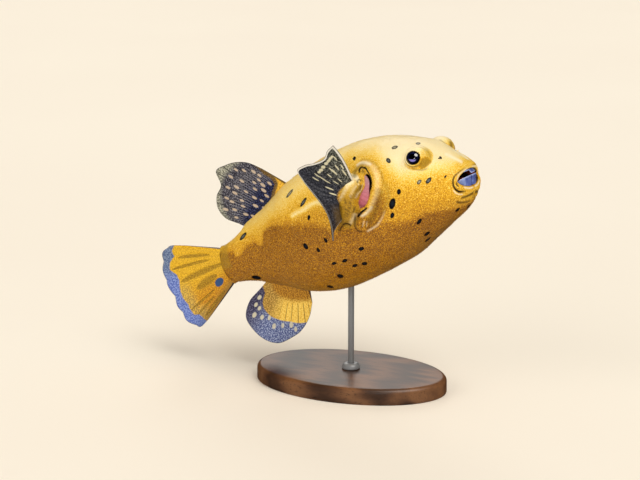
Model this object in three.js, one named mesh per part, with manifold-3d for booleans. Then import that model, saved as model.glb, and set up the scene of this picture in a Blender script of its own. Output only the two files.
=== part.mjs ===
// A guineafowl puffer (Arothron meleagris) in its golden phase, life size, as a museum cast on a stand.
// Units are millimetres, +Z is up and the snout points along +X.
// The fish is built level in its own frame, then tilted nose-up and set over its stand.
// There a station is a distance behind the snout tip, y is to the fish's left and z is above its axis.
import * as THREE from 'three';
import { mergeVertices } from 'three/addons/utils/BufferGeometryUtils.js';
import Module from 'manifold-3d';

const wasm = await Module();
wasm.setup();

// ---- Driving dimensions ----
const PITCH = THREE.MathUtils.degToRad(21.9); // nose-up tilt of the swimming fish
const CARRY = { station: 142, z: 7, height: 172 }; // the point of the fish that stands over the origin
const GAP = 0.3; // clearance between pieces that touch
const HEAD_CUT = 111; // station where the head ends, just behind the gill openings
const STEM_CUT = 238; // station where the trunk ends and the tail stem starts
const AROUND = 34; // facets round the body
const RINGS_PER_SPAN = 2; // rings between two named stations
const EYE = { station: 39.5, y: 34.8, z: 40.8, radius: 8.2, facets: 14 };
const TURRET = { station: 39.5, y: 27.5, z: 39.2, along: 13.2, out: 13.5, up: 13.2, facets: 16 };
const BELLY_HEIGHT = 99; // where the rod meets the belly, above the floor
const ROD = { radius: 3, seat: 16, socket: 8, facets: 16 }; // seat in the belly, socket in the plinth
const BASE = { length: 200, width: 132, thickness: 16, bevel: 5 };
const COLLAR = { radius: 9, height: 6, rim: 2, taper: 3 };
const BEYOND = 400; // a station behind the whole fish

const COLOURS = {
  flesh: 0xe9b21c,
  darkFin: 0x2b2f3d,
  blueFin: 0x5670b8,
  tailFin: 0xe2b02a,
  eye: 0x0b1020,
  tooth: 0x6e86cf,
  tongue: 0xa5352a,
  gill: 0xcf6f93,
  wood: 0x5a3a22,
  steel: 0xb9bcc0,
};

// ---- The body: three rails that every ring of the skin hangs on ----
// Each ring starts on the back (top), passes the widest level (side) and ends on the belly (bottom).
// full is the ring's superellipse power: 2 is an ellipse and more is boxier.
const STATIONS = [
  { name: 'throat', top: [33, 8], side: [33, 0, 8], bottom: [33, 8], full: 2 },
  { name: 'mouth_floor', top: [27, 14], side: [28, 14, 8], bottom: [27, 1.5], full: 2 },
  { name: 'inner_lip', top: [11, 13.5], side: [15.5, 20, 7], bottom: [12, -0.5], full: 2 },
  { name: 'lip_rim', top: [5, 14.5], side: [10.5, 23, 6.8], bottom: [7, -2], full: 2 },
  { name: 'lip_crest', top: [4.4, 19.5], side: [11, 27.5, 6.2], bottom: [7.6, -8], full: 2.05 },
  { name: 'snout_front', top: [8.5, 26], side: [17.5, 31.5, 5], bottom: [12, -14.5], full: 2.15 },
  { name: 'snout', top: [19, 36.5], side: [27, 36, 5], bottom: [25, -23.5], full: 2.3 },
  { name: 'brow', top: [33, 50], side: [39, 42, 6], bottom: [45, -31.5], full: 2.4 },
  { name: 'eyes', top: [48, 58], side: [54, 47.5, 5], bottom: [66, -40.5], full: 2.4 },
  { name: 'nape', top: [72, 67.5], side: [77, 53.5, 3], bottom: [89, -49.8], full: 2.3 },
  { name: 'gills', top: [100, 72.8], side: [103, 57.5, 2], bottom: [114, -54.5], full: 2.25 },
  { name: 'deepest', top: [130, 72.3], side: [132, 59, 2], bottom: [142, -58.6], full: 2.2 },
  { name: 'flank', top: [162, 67], side: [163, 56, 2], bottom: [169, -60], full: 2.15 },
  { name: 'loin', top: [190, 60], side: [191, 48, 2], bottom: [195, -56.5], full: 2.1 },
  { name: 'dorsal_root', top: [212, 50.5], side: [213, 38.5, 1], bottom: [215, -50], full: 2.05 },
  { name: 'vent', top: [234, 40], side: [235, 29.5, 0], bottom: [237, -38.5], full: 2 },
  { name: 'stem_front', top: [256, 32], side: [257, 21.5, 0], bottom: [257, -30], full: 2 },
  { name: 'stem', top: [274, 24], side: [275, 16.5, -0.5], bottom: [274, -24.6], full: 2 },
  { name: 'tail_root', top: [289, 18.8], side: [290, 11.5, -0.7], bottom: [289, -21.6], full: 2 },
  { name: 'root_edge', top: [298, 17], side: [300, 5.5, -0.8], bottom: [298, -20.5], full: 2 },
  { name: 'root_end', top: [303, -0.8], side: [303, 0, -0.8], bottom: [303, -0.8], full: 2 },
];

// A point of the fish's own frame, from a station, a distance to the left and a height.
const at = (station, y, z) => new THREE.Vector3(-station, y, z);

// A smooth curve through the given points, of the uniform Catmull-Rom kind.
const through = (points) => new THREE.CatmullRomCurve3(points, false, 'catmullrom', 0.5);

const topRail = through(STATIONS.map(({ top }) => at(top[0], 0, top[1])));
const sideRail = through(STATIONS.map(({ side }) => at(side[0], side[1], side[2])));
const bottomRail = through(STATIONS.map(({ bottom }) => at(bottom[0], 0, bottom[1])));
const fullRail = through(STATIONS.map(({ full }) => new THREE.Vector3(full, 0, 0)));

// The skin at t (0 in the throat, 1 at the tail root) and at an angle round the ring.
// The angle is 0 on the back, a quarter turn on the left side and a half turn on the belly.
// grow moves the skin outwards, and fades at both ends of the rails, where the rings close.
const FADE = { rate: 40, tailPower: 30 };
function skinPoint(t, angle, grow) {
  const power = 2 / fullRail.getPoint(t).x;
  const level = sideRail.getPoint(t);
  const wide = level.y;
  level.y = 0;
  const up = Math.cos(angle);
  const out = Math.sin(angle);
  const edge = (up >= 0 ? topRail : bottomRail).getPoint(t).sub(level);
  const point = level.clone().addScaledVector(edge, Math.abs(up) ** power);
  point.y = Math.sign(out) * wide * Math.abs(out) ** power;
  const swell = grow * Math.min(1, FADE.rate * t * (1 - t));
  return point.add(new THREE.Vector3(-grow * t ** FADE.tailPower, out * swell, up * swell));
}

// ---- Turning geometry into solids and back ----

// A geometry with only merged positions, as a closed solid that faces outwards.
function solidOf(geometry) {
  const bare = geometry.clone();
  bare.deleteAttribute('normal');
  bare.deleteAttribute('uv');
  const merged = mergeVertices(bare, 1e-3);
  const triVerts = new Uint32Array(merged.index.array);
  const vertProperties = merged.attributes.position.array;
  const made = new wasm.Manifold(new wasm.Mesh({ numProp: 3, vertProperties, triVerts }));
  if (made.volume() > 0) return made;
  triVerts.reverse();
  return new wasm.Manifold(new wasm.Mesh({ numProp: 3, vertProperties, triVerts }));
}

// A solid's faces as a three.js geometry.
function geometryOf(solid) {
  const { vertProperties, triVerts } = solid.getMesh();
  const geometry = new THREE.BufferGeometry();
  geometry.setAttribute('position', new THREE.BufferAttribute(vertProperties, 3));
  geometry.setIndex(new THREE.BufferAttribute(triVerts, 1));
  geometry.computeVertexNormals();
  return geometry;
}

// A sphere's closed net of faces, with each vertex placed by its row t (0 to 1) and its angle.
function wrap(around, rows, place) {
  const geometry = new THREE.SphereGeometry(1, around, rows);
  const position = geometry.getAttribute('position');
  for (let row = 0; row <= rows; row += 1) {
    for (let column = 0; column <= around; column += 1) {
      const angle = ((column % around) / around) * 2 * Math.PI;
      const point = place(row / rows, angle);
      position.setXYZ(row * (around + 1) + column, point.x, point.y, point.z);
    }
  }
  return solidOf(geometry);
}

// An egg shape about a centre, with its three half-lengths.
const EGG_ROWS = 0.6; // rows of facets to each facet round it
function egg(centre, along, out, up, facets) {
  const geometry = new THREE.SphereGeometry(1, facets, Math.round(facets * EGG_ROWS));
  geometry.scale(along, out, up);
  geometry.translate(centre.x, centre.y, centre.z);
  return solidOf(geometry);
}

// A thin curved plate: point(t, u) is its middle surface and half(t, u) is half its thickness.
function plate(point, half, columns, rows) {
  const geometry = new THREE.BoxGeometry(1, 1, 1, columns, rows, 1);
  const position = geometry.getAttribute('position');
  const step = 1e-3;
  for (let i = 0; i < position.count; i += 1) {
    const t = position.getX(i) + 0.5;
    const u = position.getY(i) + 0.5;
    const along = point(Math.min(1, t + step), u).sub(point(Math.max(0, t - step), u));
    const outward = point(t, Math.min(1, u + step)).sub(point(t, Math.max(0, u - step)));
    const normal = along.cross(outward).normalize();
    const middle = point(t, u);
    middle.addScaledVector(normal, Math.sign(position.getZ(i)) * half(t, u));
    position.setXYZ(i, middle.x, middle.y, middle.z);
  }
  return solidOf(geometry);
}

// A box between two stations, wider and taller than the fish.
const SLAB_SIZE = 300;
function slab(fromStation, toStation) {
  const geometry = new THREE.BoxGeometry(toStation - fromStation, SLAB_SIZE, SLAB_SIZE);
  geometry.translate(-(fromStation + toStation) / 2, 0, 0);
  return solidOf(geometry);
}

// ---- Flesh ----
const bodySolid = (grow) => {
  const rows = (STATIONS.length - 1) * RINGS_PER_SPAN;
  return wrap(AROUND, rows, (t, angle) => skinPoint(t, angle, grow));
};

// The bony ring that stands out round each eye.
const turret = (side) => {
  const centre = at(TURRET.station, side * TURRET.y, TURRET.z);
  return egg(centre, TURRET.along, TURRET.out, TURRET.up, TURRET.facets);
};

const eyeball = (side, grow) => {
  const radius = EYE.radius + grow;
  return egg(at(EYE.station, side * EYE.y, EYE.z), radius, radius, radius, EYE.facets);
};

// The fleshy lobe that carries the fan of a pectoral fin.
const LOBE = {
  station: 110, y: 52, z: 22,
  along: 13, out: 14, up: 24, lean: 0.35,
  facets: 14, rows: 9,
};
function lobe(side, grow) {
  const geometry = new THREE.SphereGeometry(1, LOBE.facets, LOBE.rows);
  geometry.scale(LOBE.along + grow, LOBE.out + grow, LOBE.up + grow);
  geometry.rotateY(LOBE.lean);
  geometry.translate(-LOBE.station, side * LOBE.y, LOBE.z);
  return solidOf(geometry);
}

// The gill opening: a crescent seen from the side, hollow towards the fin.
// inner is how far out its floor lies, below is how deep the gill tissue sits under the skin.
const GILL = { inner: 43, below: 2, width: 7, tip: 0.3, round: 0.6, steps: 8, cut: 30 };
const GILL_LINE = [[89, 47], [86.2, 42.5], [85.8, 37], [87.4, 31], [91.4, 24.5], [96, 18], [104.5, 7]];
function gillPrism(side, grow) {
  const line = new THREE.SplineCurve(GILL_LINE.map(([s, z]) => new THREE.Vector2(-s, z)));
  const front = [];
  const back = [];
  for (let i = 0; i <= GILL.steps; i += 1) {
    const t = i / GILL.steps;
    const point = line.getPoint(t);
    const tangent = line.getTangent(t);
    const half = (GILL.width / 2) * Math.sin(Math.PI * t) ** GILL.round + GILL.tip + grow;
    const across = new THREE.Vector2(-tangent.y, tangent.x).multiplyScalar(half);
    front.push(point.clone().add(across));
    back.push(point.clone().sub(across));
  }
  const outline = new THREE.Shape([...front, ...back.reverse()]);
  const options = { depth: GILL.cut, bevelEnabled: false, steps: 1 };
  const geometry = new THREE.ExtrudeGeometry(outline, options);
  geometry.rotateX(Math.PI / 2);
  const outerFace = side > 0 ? GILL.inner - grow + GILL.cut : -GILL.inner + grow;
  geometry.translate(0, outerFace, 0);
  return solidOf(geometry);
}

// ---- Teeth: four fused plates, two above and two below, curved round the front of the mouth ----
const BEAK = { front: 7.2, back: 21, halfWidth: 16, middleGap: 0.25, sweep: 0.94, lean: 1.6 };
const TOOTH = { edgeHalf: 0.45, rootHalf: 1.6, cornerThin: 0.5, columns: 5, rows: 2 };
// Heights of each jaw's root, of its cutting edge in the middle, and of that edge at the corner.
const UPPER = { root: 18, edge: 12.4, corner: 10.4 };
const LOWER = { root: -5, edge: 7.4, corner: 5.6 };
const TONGUE = { station: 21, z: 5, along: 8, out: 9, up: 4.4, facets: 10 };
// The arc of a jaw in plan: t is 0 at the middle of the jaw and 1 at the corner of the mouth.
const jawArc = (side, t, inset) => {
  const turn = (Math.PI / 2) * t * BEAK.sweep;
  const y = (BEAK.halfWidth - inset) * Math.sin(turn) + BEAK.middleGap;
  const station = BEAK.back - (BEAK.back - BEAK.front - inset) * Math.cos(turn);
  return at(station, side * y, 0);
};

// A tooth from its root (u 0) to its cutting edge (u 1), thinner towards both the edge and the corner.
function tooth(side, jaw) {
  const middle = (t, u) => {
    const rise = THREE.MathUtils.lerp(jaw.edge, jaw.corner, t ** 3);
    const point = jawArc(side, t, BEAK.lean * (1 - u));
    point.z = THREE.MathUtils.lerp(jaw.root, rise, u);
    return point;
  };
  const swell = TOOTH.rootHalf - TOOTH.edgeHalf;
  const half = (t, u) => TOOTH.edgeHalf + swell * (1 - u) * (1 - TOOTH.cornerThin * t);
  return plate(middle, half, TOOTH.columns, TOOTH.rows);
}

// The gums: flesh grown into the mouth, so that a tooth or the tongue ends just clear of it.
const gums = bodySolid(-GAP);
const lowerTooth = (side) => tooth(side, LOWER).subtract(gums);
const upperTooth = (side) => tooth(side, UPPER).subtract(gums);
const tongue = () => {
  const centre = at(TONGUE.station, 0, TONGUE.z);
  return egg(centre, TONGUE.along, TONGUE.out, TONGUE.up, TONGUE.facets).subtract(gums);
};

// ---- Nasal tentacles: a short stalk that forks into two flaps, before each eye ----
const NOSE = {
  station: 21, y: 20, z: 33,
  length: 2, width: 1.1, thickness: 0.7, sunk: 0.6,
  fork: 0.5, lean: 1.2,
  facets: 8, rows: 5,
};
function tentacle(side) {
  const root = at(NOSE.station, side * NOSE.y, NOSE.z);
  const parts = [-NOSE.fork, NOSE.fork].map((lean) => {
    const flap = new THREE.SphereGeometry(1, NOSE.facets, NOSE.rows);
    flap.scale(NOSE.width, NOSE.thickness, NOSE.length / 2 + 1);
    flap.translate(0, 0, NOSE.length / 2 - NOSE.sunk);
    flap.rotateY(lean);
    flap.rotateX(-side * NOSE.lean);
    flap.translate(root.x, root.y, root.z);
    return solidOf(flap);
  });
  return parts[0].add(parts[1]);
}

// ---- Fins: rays run from a root line inside the flesh to a margin, with a web between them ----
// root and margin are points (station, y, z); belly bows the web between the two,
// and lead bows the first ray further, less and less over the rays behind it.
const THINNING = 0.7; // below 1, a fin thins fastest near its root
const LEAD_FADE = 3; // how fast the extra bow of the first ray dies out
const FLAT = [0, 0, 0];
function fin({ root, margin, belly = FLAT, lead = FLAT, thick, thin, scallops = 0, scallop = 0 }) {
  const rootLine = through(root.map((p) => at(...p)));
  const marginLine = through(margin.map((p) => at(...p)));
  const bow = at(...belly);
  const leadBow = at(...lead);
  const middle = (t, u) => {
    const from = rootLine.getPoint(t);
    const tip = marginLine.getPoint(t);
    const lobes = scallop * (Math.abs(Math.sin(Math.PI * scallops * t)) - 1);
    const reach = u * (1 + (lobes * u) / from.distanceTo(tip));
    const swell = Math.sin(Math.PI * u);
    const first = swell * (1 - t) ** LEAD_FADE;
    return from.lerp(tip, reach).addScaledVector(bow, swell).addScaledVector(leadBow, first);
  };
  const half = (t, u) => THREE.MathUtils.lerp(thick, thin, u ** THINNING) / 2;
  return { middle, half };
}

const DORSAL = fin({
  root: [[196, 0, 54], [222, 0, 39], [258, 0, 27]],
  margin: [
    [221, 0, 79.5], [233, 0, 89], [246, 0, 93.7], [259, 0, 94.5], [272, 0, 92], [272, 0, 77],
    [281, 0, 68], [284.5, 0, 56], [279.5, 0, 43.5], [266, 0, 34],
  ],
  thick: 7, thin: 1,
});

const ANAL = fin({
  root: [[214, 0, -46], [234, 0, -36], [254, 0, -27]],
  margin: [
    [217, 0, -64], [226, 0, -77], [240, 0, -87.5], [256, 0, -92], [270, 0, -93],
    [283, 0, -86.5], [292.5, 0, -74], [296.5, 0, -58], [286, 0, -43.5], [271, 0, -36],
  ],
  thick: 7, thin: 1,
});

const CAUDAL = fin({
  root: [[288, 0, 13.5], [290, 0, -0.7], [288, 0, -16.5]],
  margin: [
    [340, 0, 32], [356, 0, 35.5], [366.5, 0, 30.5], [372.5, 0, 16], [374.5, 0, 1],
    [371.5, 0, -14], [370.5, 0, -28], [366, 0, -43], [355, 0, -53.5], [342, 0, -50],
  ],
  thick: 9, thin: 1.1, scallops: 7, scallop: 2.2,
});

// The right pectoral is raised and spread; the left one is swept back on its own stroke.
const RIGHT_PECTORAL = fin({
  root: [[97, -56, 43], [109, -61, 36], [117, -63, 24], [122, -60, 8]],
  margin: [
    [90, -84, 78], [98, -84, 74.5], [104, -83.5, 69], [115.5, -82.5, 68], [127.5, -81, 69],
    [137.5, -80, 66.5], [135, -80.5, 55.5], [130, -81, 43.5], [125.5, -80.5, 32],
    [123, -79, 20.5], [123.5, -77, 10], [126, -74.5, 0.5], [131.5, -70, -8.5],
  ],
  belly: [3, -3, 0], lead: [-6, 0, 3], thick: 4, thin: 1,
});

const LEFT_PECTORAL = fin({
  root: [[102, 56, 40], [110, 61, 32], [117, 63, 20], [121, 60, 6]],
  margin: [
    [128, 74, 62], [141, 77, 60], [153, 79, 53], [161, 80, 43], [164, 80, 31],
    [162, 79, 18], [156, 76, 6], [147, 72, -4], [136, 68, -9],
  ],
  belly: [3, 3, 0], thick: 4, thin: 1,
});

const finSolid = ({ middle, half }, columns, rows) => plate(middle, half, columns, rows);
const WEB_ROWS = 3; // facets from a fin's root to its margin

// ---- The fish, with every neighbour cut clear of the next ----
const fish = new THREE.Group();
fish.name = 'fish';
fish.rotation.y = -PITCH;
const carried = at(CARRY.station, 0, CARRY.z).applyEuler(fish.rotation);
fish.position.set(-carried.x, 0, CARRY.height - carried.z);
fish.updateMatrix();

function addTo(group, name, solid, color, roughness, metalness = 0) {
  const material = new THREE.MeshStandardMaterial({ color, roughness, metalness });
  const mesh = new THREE.Mesh(geometryOf(solid), material);
  mesh.name = name;
  group.add(mesh);
}

const SIDES = [{ side: 1, label: 'left' }, { side: -1, label: 'right' }];
const grownBody = bodySolid(GAP);

// The steel rod, upright from its socket in the plinth to its seat in the belly.
function rod(grow) {
  const foot = BASE.thickness - ROD.socket - grow;
  const top = BELLY_HEIGHT + ROD.seat + grow;
  const radius = ROD.radius + grow;
  const geometry = new THREE.CylinderGeometry(radius, radius, top - foot, ROD.facets);
  geometry.rotateX(Math.PI / 2);
  geometry.translate(0, 0, (top + foot) / 2);
  return geometry;
}
const rodSeat = solidOf(rod(GAP).applyMatrix4(fish.matrix.clone().invert()));

let head = bodySolid(0).subtract(slab(HEAD_CUT, BEYOND));
for (const { side } of SIDES) head = head.add(turret(side));
for (const { side } of SIDES) {
  head = head.subtract(eyeball(side, GAP));
  head = head.subtract(gillPrism(side, GAP));
  head = head.subtract(lobe(side, GAP));
}

let trunk = bodySolid(0).intersect(slab(HEAD_CUT + GAP, STEM_CUT - GAP)).subtract(rodSeat);
for (const { side } of SIDES) trunk = trunk.subtract(lobe(side, GAP));
const tailStem = bodySolid(0).intersect(slab(STEM_CUT, BEYOND));

addTo(fish, 'head', head, COLOURS.flesh, 0.45);
addTo(fish, 'trunk', trunk, COLOURS.flesh, 0.45);
addTo(fish, 'tail_stem', tailStem, COLOURS.flesh, 0.45);
addTo(fish, 'dorsal_fin', finSolid(DORSAL, 17, WEB_ROWS).subtract(grownBody), COLOURS.darkFin, 0.5);
addTo(fish, 'anal_fin', finSolid(ANAL, 17, WEB_ROWS).subtract(grownBody), COLOURS.blueFin, 0.5);
addTo(fish, 'caudal_fin', finSolid(CAUDAL, 28, 2).subtract(grownBody), COLOURS.tailFin, 0.5);
addTo(fish, 'tongue', tongue(), COLOURS.tongue, 0.35);

for (const { side, label } of SIDES) {
  const lobeSolid = lobe(side, 0);
  const pectoral = finSolid(side > 0 ? LEFT_PECTORAL : RIGHT_PECTORAL, 16, WEB_ROWS);
  const fan = pectoral.subtract(lobe(side, GAP)).subtract(grownBody);
  const gill = gillPrism(side, 0).intersect(bodySolid(-GILL.below)).subtract(lobe(side, GAP));
  const flap = tentacle(side).subtract(grownBody);
  addTo(fish, `pectoral_base_${label}`, lobeSolid, COLOURS.flesh, 0.45);
  addTo(fish, `pectoral_fin_${label}`, fan, COLOURS.darkFin, 0.5);
  addTo(fish, `eye_${label}`, eyeball(side, 0), COLOURS.eye, 0.08);
  addTo(fish, `upper_tooth_${label}`, upperTooth(side), COLOURS.tooth, 0.3);
  addTo(fish, `lower_tooth_${label}`, lowerTooth(side), COLOURS.tooth, 0.3);
  addTo(fish, `gill_${label}`, gill, COLOURS.gill, 0.4);
  addTo(fish, `nasal_tentacle_${label}`, flap, COLOURS.flesh, 0.45);
}

// ---- The stand: an oval plinth, a collar and one rod ----
function plinth() {
  const inset = BASE.bevel;
  const oval = new THREE.Shape();
  oval.absellipse(0, 0, BASE.length / 2 - inset, BASE.width / 2 - inset, 0, 2 * Math.PI);
  const geometry = new THREE.ExtrudeGeometry(oval, {
    depth: BASE.thickness - inset,
    curveSegments: 16,
    bevelSize: inset,
    bevelThickness: inset,
    bevelSegments: 2,
  });
  // The bevel on the underside is cut off, so the plinth stands on a flat face.
  const below = new THREE.BoxGeometry(BASE.length * 2, BASE.width * 2, BASE.thickness * 2);
  below.translate(0, 0, -BASE.thickness);
  return solidOf(geometry).subtract(solidOf(below));
}

function collar() {
  const inner = ROD.radius + GAP;
  const outer = COLLAR.radius;
  const { height, rim, taper } = COLLAR;
  const base = [[inner, 0], [outer, 0], [outer, rim]];
  const profile = [...base, [outer - taper, height], [inner, height], [inner, 0]];
  const points = profile.map(([r, z]) => new THREE.Vector2(r, z));
  const geometry = new THREE.LatheGeometry(points, ROD.facets);
  geometry.rotateX(Math.PI / 2);
  geometry.translate(0, 0, BASE.thickness + GAP);
  return solidOf(geometry);
}

const stand = new THREE.Group();
stand.name = 'stand';
addTo(stand, 'stand_base', plinth().subtract(solidOf(rod(GAP))), COLOURS.wood, 0.5);
addTo(stand, 'stand_collar', collar(), COLOURS.steel, 0.3, 1);
addTo(stand, 'stand_rod', solidOf(rod(0)), COLOURS.steel, 0.3, 1);

const puffer = new THREE.Group();
puffer.name = 'guineafowl_puffer';
puffer.add(fish, stand);

export default puffer;
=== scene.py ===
# %% [markdown]
# # A golden guineafowl puffer on its display stand
#
# This lesson dresses a set of plain solids as a museum model of a pufferfish. The solids give every
# size and place. Each step makes one piece of the real animal, or one finish, and says why it is
# made that way.

# %% Load the solids
import math

import bpy
import numpy as np
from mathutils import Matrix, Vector


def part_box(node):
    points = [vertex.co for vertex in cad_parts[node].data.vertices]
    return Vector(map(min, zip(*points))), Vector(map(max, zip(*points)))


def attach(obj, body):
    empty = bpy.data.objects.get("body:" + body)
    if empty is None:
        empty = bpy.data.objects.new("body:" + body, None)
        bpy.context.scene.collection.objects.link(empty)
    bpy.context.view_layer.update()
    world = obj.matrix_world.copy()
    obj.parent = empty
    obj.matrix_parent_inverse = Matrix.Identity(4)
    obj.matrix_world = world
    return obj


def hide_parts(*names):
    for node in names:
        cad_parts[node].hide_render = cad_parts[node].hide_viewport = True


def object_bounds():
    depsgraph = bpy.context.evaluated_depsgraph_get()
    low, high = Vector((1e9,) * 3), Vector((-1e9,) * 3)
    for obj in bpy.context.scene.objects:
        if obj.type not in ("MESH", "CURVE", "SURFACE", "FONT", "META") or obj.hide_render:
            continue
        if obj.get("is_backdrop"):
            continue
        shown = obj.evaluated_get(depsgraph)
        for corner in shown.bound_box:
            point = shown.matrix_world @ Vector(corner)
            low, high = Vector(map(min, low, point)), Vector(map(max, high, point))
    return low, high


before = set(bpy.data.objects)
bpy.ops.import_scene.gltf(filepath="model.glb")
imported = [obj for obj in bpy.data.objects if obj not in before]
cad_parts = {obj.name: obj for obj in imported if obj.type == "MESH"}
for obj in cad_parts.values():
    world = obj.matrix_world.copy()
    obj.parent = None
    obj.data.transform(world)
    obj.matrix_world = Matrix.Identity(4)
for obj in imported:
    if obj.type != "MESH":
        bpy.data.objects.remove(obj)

cad_box = [list(corner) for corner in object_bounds()]
print("solids:", len(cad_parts), "box:", [[round(v, 4) for v in corner] for corner in cad_box])

# %% [markdown]
# ## The fish's own frame
#
# A fish is easiest to describe lying level: how far behind the snout a point is (its station), how
# far to the left, and how high above the long axis, all in millimetres. The finished model swims
# nose-up. It could be built in that slant, but then no height or width would mean anything by
# itself, so every point is turned and carried to its place over the stand in one last step.

# %% From the fish's frame to the room
MM = 0.001
PITCH = math.radians(21.9)
CARRIED = np.array([-142.0, 0.0, 7.0])  # the point of the fish over the middle of the stand: x, y, z
CARRY_HEIGHT = 172.0
SIDES = {"left": 1, "right": -1}


def swung(points, axis, other, angle):
    """Points turned by an angle from one axis towards another."""
    result = points.copy()
    result[..., axis] = points[..., axis] * math.cos(angle) - points[..., other] * math.sin(angle)
    result[..., other] = points[..., axis] * math.sin(angle) + points[..., other] * math.cos(angle)
    return result


def to_room(points):
    """Turns (station, left, up) in millimetres into metres of the room."""
    level = np.asarray(points, float) * [-1, 1, 1] - CARRIED
    return (swung(level, 0, 2, PITCH) + [0, 0, CARRY_HEIGHT]) * MM


eye_low, eye_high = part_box("eye_left")
print("left eye's solid is centred at", [round(v, 4) for v in (eye_low + eye_high) / 2])

# %% [markdown]
# ## Camera, floor and light
#
# The camera looks a little down on the fish from its right side and well ahead of the side view, so
# the face turns towards it. A long lens keeps the proportions true. One large soft lamp above and
# ahead shapes the body from pale back to dark belly. A weak one opens the shadows, a small one from
# the viewer's side puts a spark in the eye, and the last, behind, draws a thin bright line along the
# back. The room's own light is stronger from below, as over a pale floor.

# %% Camera
LENS = 120
CAMERA_TURN = math.radians(27)
CAMERA_RISE = math.radians(13)
CAMERA_DISTANCE = 2.11174
AIM = Vector((-0.034615, 0, 0.14342))

towards_camera = Vector((
    math.sin(CAMERA_TURN) * math.cos(CAMERA_RISE),
    -math.cos(CAMERA_TURN) * math.cos(CAMERA_RISE),
    math.sin(CAMERA_RISE),
))
scene = bpy.context.scene
camera = bpy.data.objects.new("camera", bpy.data.cameras.new("camera"))
camera.data.lens = LENS
camera.location = AIM + towards_camera * CAMERA_DISTANCE
camera.rotation_euler = towards_camera.to_track_quat("Z", "Y").to_euler()
scene.collection.objects.link(camera)
scene.camera = camera
print("camera at", [round(v, 4) for v in camera.location])


# %% Lamps and the room's own light
def srgb(code):
    """A colour written as rrggbb, as the linear numbers that Blender mixes."""
    parts = [int(code[i:i + 2], 16) / 255 for i in (0, 2, 4)]
    linear = [p / 12.92 if p <= 0.04045 else ((p + 0.055) / 1.055) ** 2.4 for p in parts]
    return (*linear, 1.0)


def lamp(name, towards, strength, spread, colour, gleams=True):
    """A distant lamp, soft by its spread in degrees. One that doesn't gleam leaves no highlight."""
    data = bpy.data.lights.new(name, "SUN")
    data.energy, data.angle, data.color = strength, math.radians(spread), colour[:3]
    made = bpy.data.objects.new(name, data)
    made.rotation_euler = Vector(towards).to_track_quat("Z", "Y").to_euler()
    made.visible_glossy = gleams
    scene.collection.objects.link(made)


lamp("key_lamp", (0.53, -0.24, 0.81), 1.84, 40, srgb("fffaf2"))
lamp("fill_lamp", (-0.45, -0.85, 0.30), 1.08, 60, srgb("fff8f0"), gleams=False)
lamp("gleam_lamp", (0.44, -0.87, 0.22), 0.16, 9, srgb("ffffff"))
lamp("rim_lamp", (-0.45, 0.75, 0.50), 0.45, 30, srgb("fffdf8"))

LIGHT_ABOVE, LIGHT_BELOW = 0.353, 1.24
world = bpy.data.worlds.new("room")
world.use_nodes = True
room = world.node_tree
sky = room.nodes["Background"]
sky.inputs["Color"].default_value = srgb("fffaf0")
way = room.nodes.new("ShaderNodeTexCoord")
parts = room.nodes.new("ShaderNodeSeparateXYZ")
level = room.nodes.new("ShaderNodeMapRange")
level.inputs["From Min"].default_value = -0.4
level.inputs["From Max"].default_value = 0.4
level.inputs["To Min"].default_value = LIGHT_BELOW
level.inputs["To Max"].default_value = LIGHT_ABOVE
room.links.new(way.outputs["Generated"], parts.inputs[0])
room.links.new(parts.outputs["Z"], level.inputs["Value"])
room.links.new(level.outputs["Result"], sky.inputs["Strength"])
scene.world = world
world.cycles_visibility.glossy = False  # only the lamps shine back from wet skin
scene.view_settings.view_transform = "Standard"
scene.view_settings.look = "None"


# %% [markdown]
# ## Meshes from grids
#
# Skin, fins and teeth are all surfaces that can be written as a grid of points. They could be
# modelled by hand from boxes, but a grid keeps every size a number that can be read and changed. So
# one helper turns points and corner numbers into a smooth mesh object. It checks that the faces look
# outwards by the sign of the enclosed volume, because a mirrored copy would come out inside out.

# %% Mesh helpers
def make_mesh(name, points, squares=(), triangles=()):
    """A smooth mesh object from points in metres and lists of corner numbers."""
    squares = np.asarray(squares, np.int32).reshape(-1, 4)
    triangles = np.asarray(triangles, np.int32).reshape(-1, 3)
    halves = np.concatenate([squares[:, [0, 1, 2]], squares[:, [0, 2, 3]], triangles])
    a, b, c = (points[halves[:, k]] for k in range(3))
    if np.einsum("ij,ij->i", a, np.cross(b, c)).sum() < 0:
        squares, triangles = squares[:, ::-1], triangles[:, ::-1]
    mesh = bpy.data.meshes.new(name)
    mesh.vertices.add(len(points))
    mesh.vertices.foreach_set("co", np.asarray(points, np.float32).ravel())
    corners = np.concatenate([squares.ravel(), triangles.ravel()])
    sizes = np.concatenate([np.full(len(squares), 4), np.full(len(triangles), 3)])
    mesh.loops.add(len(corners))
    mesh.loops.foreach_set("vertex_index", corners.astype(np.int32))
    mesh.polygons.add(len(sizes))
    mesh.polygons.foreach_set("loop_start", (np.cumsum(sizes) - sizes).astype(np.int32))
    mesh.polygons.foreach_set("use_smooth", np.ones(len(sizes), bool))
    mesh.update(calc_edges=True)
    made = bpy.data.objects.new(name, mesh)
    scene.collection.objects.link(made)
    return made


def grid_squares(rows, columns, closed=False, first=0):
    """Corner numbers of the squares of a grid; closed joins the last column to the first."""
    i, j = np.meshgrid(np.arange(rows - 1), np.arange(columns - (not closed)), indexing="ij")
    k = (j + 1) % columns
    corners = [i * columns + j, i * columns + k, (i + 1) * columns + k, (i + 1) * columns + j]
    return first + np.stack(corners, axis=-1).reshape(-1, 4)


def closed_grid(rows, columns, hubs, first=0):
    """Squares round a closed grid, and the fans of triangles from a hub point that shut each end."""
    start = first + np.arange(columns)
    fans = [
        np.stack([np.full(columns, hub), ring, np.roll(ring, -1)], axis=-1)
        for hub, ring in zip(hubs, (start[::-1], start + (rows - 1) * columns))
    ]
    return grid_squares(rows, columns, closed=True, first=first), np.concatenate(fans)


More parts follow.
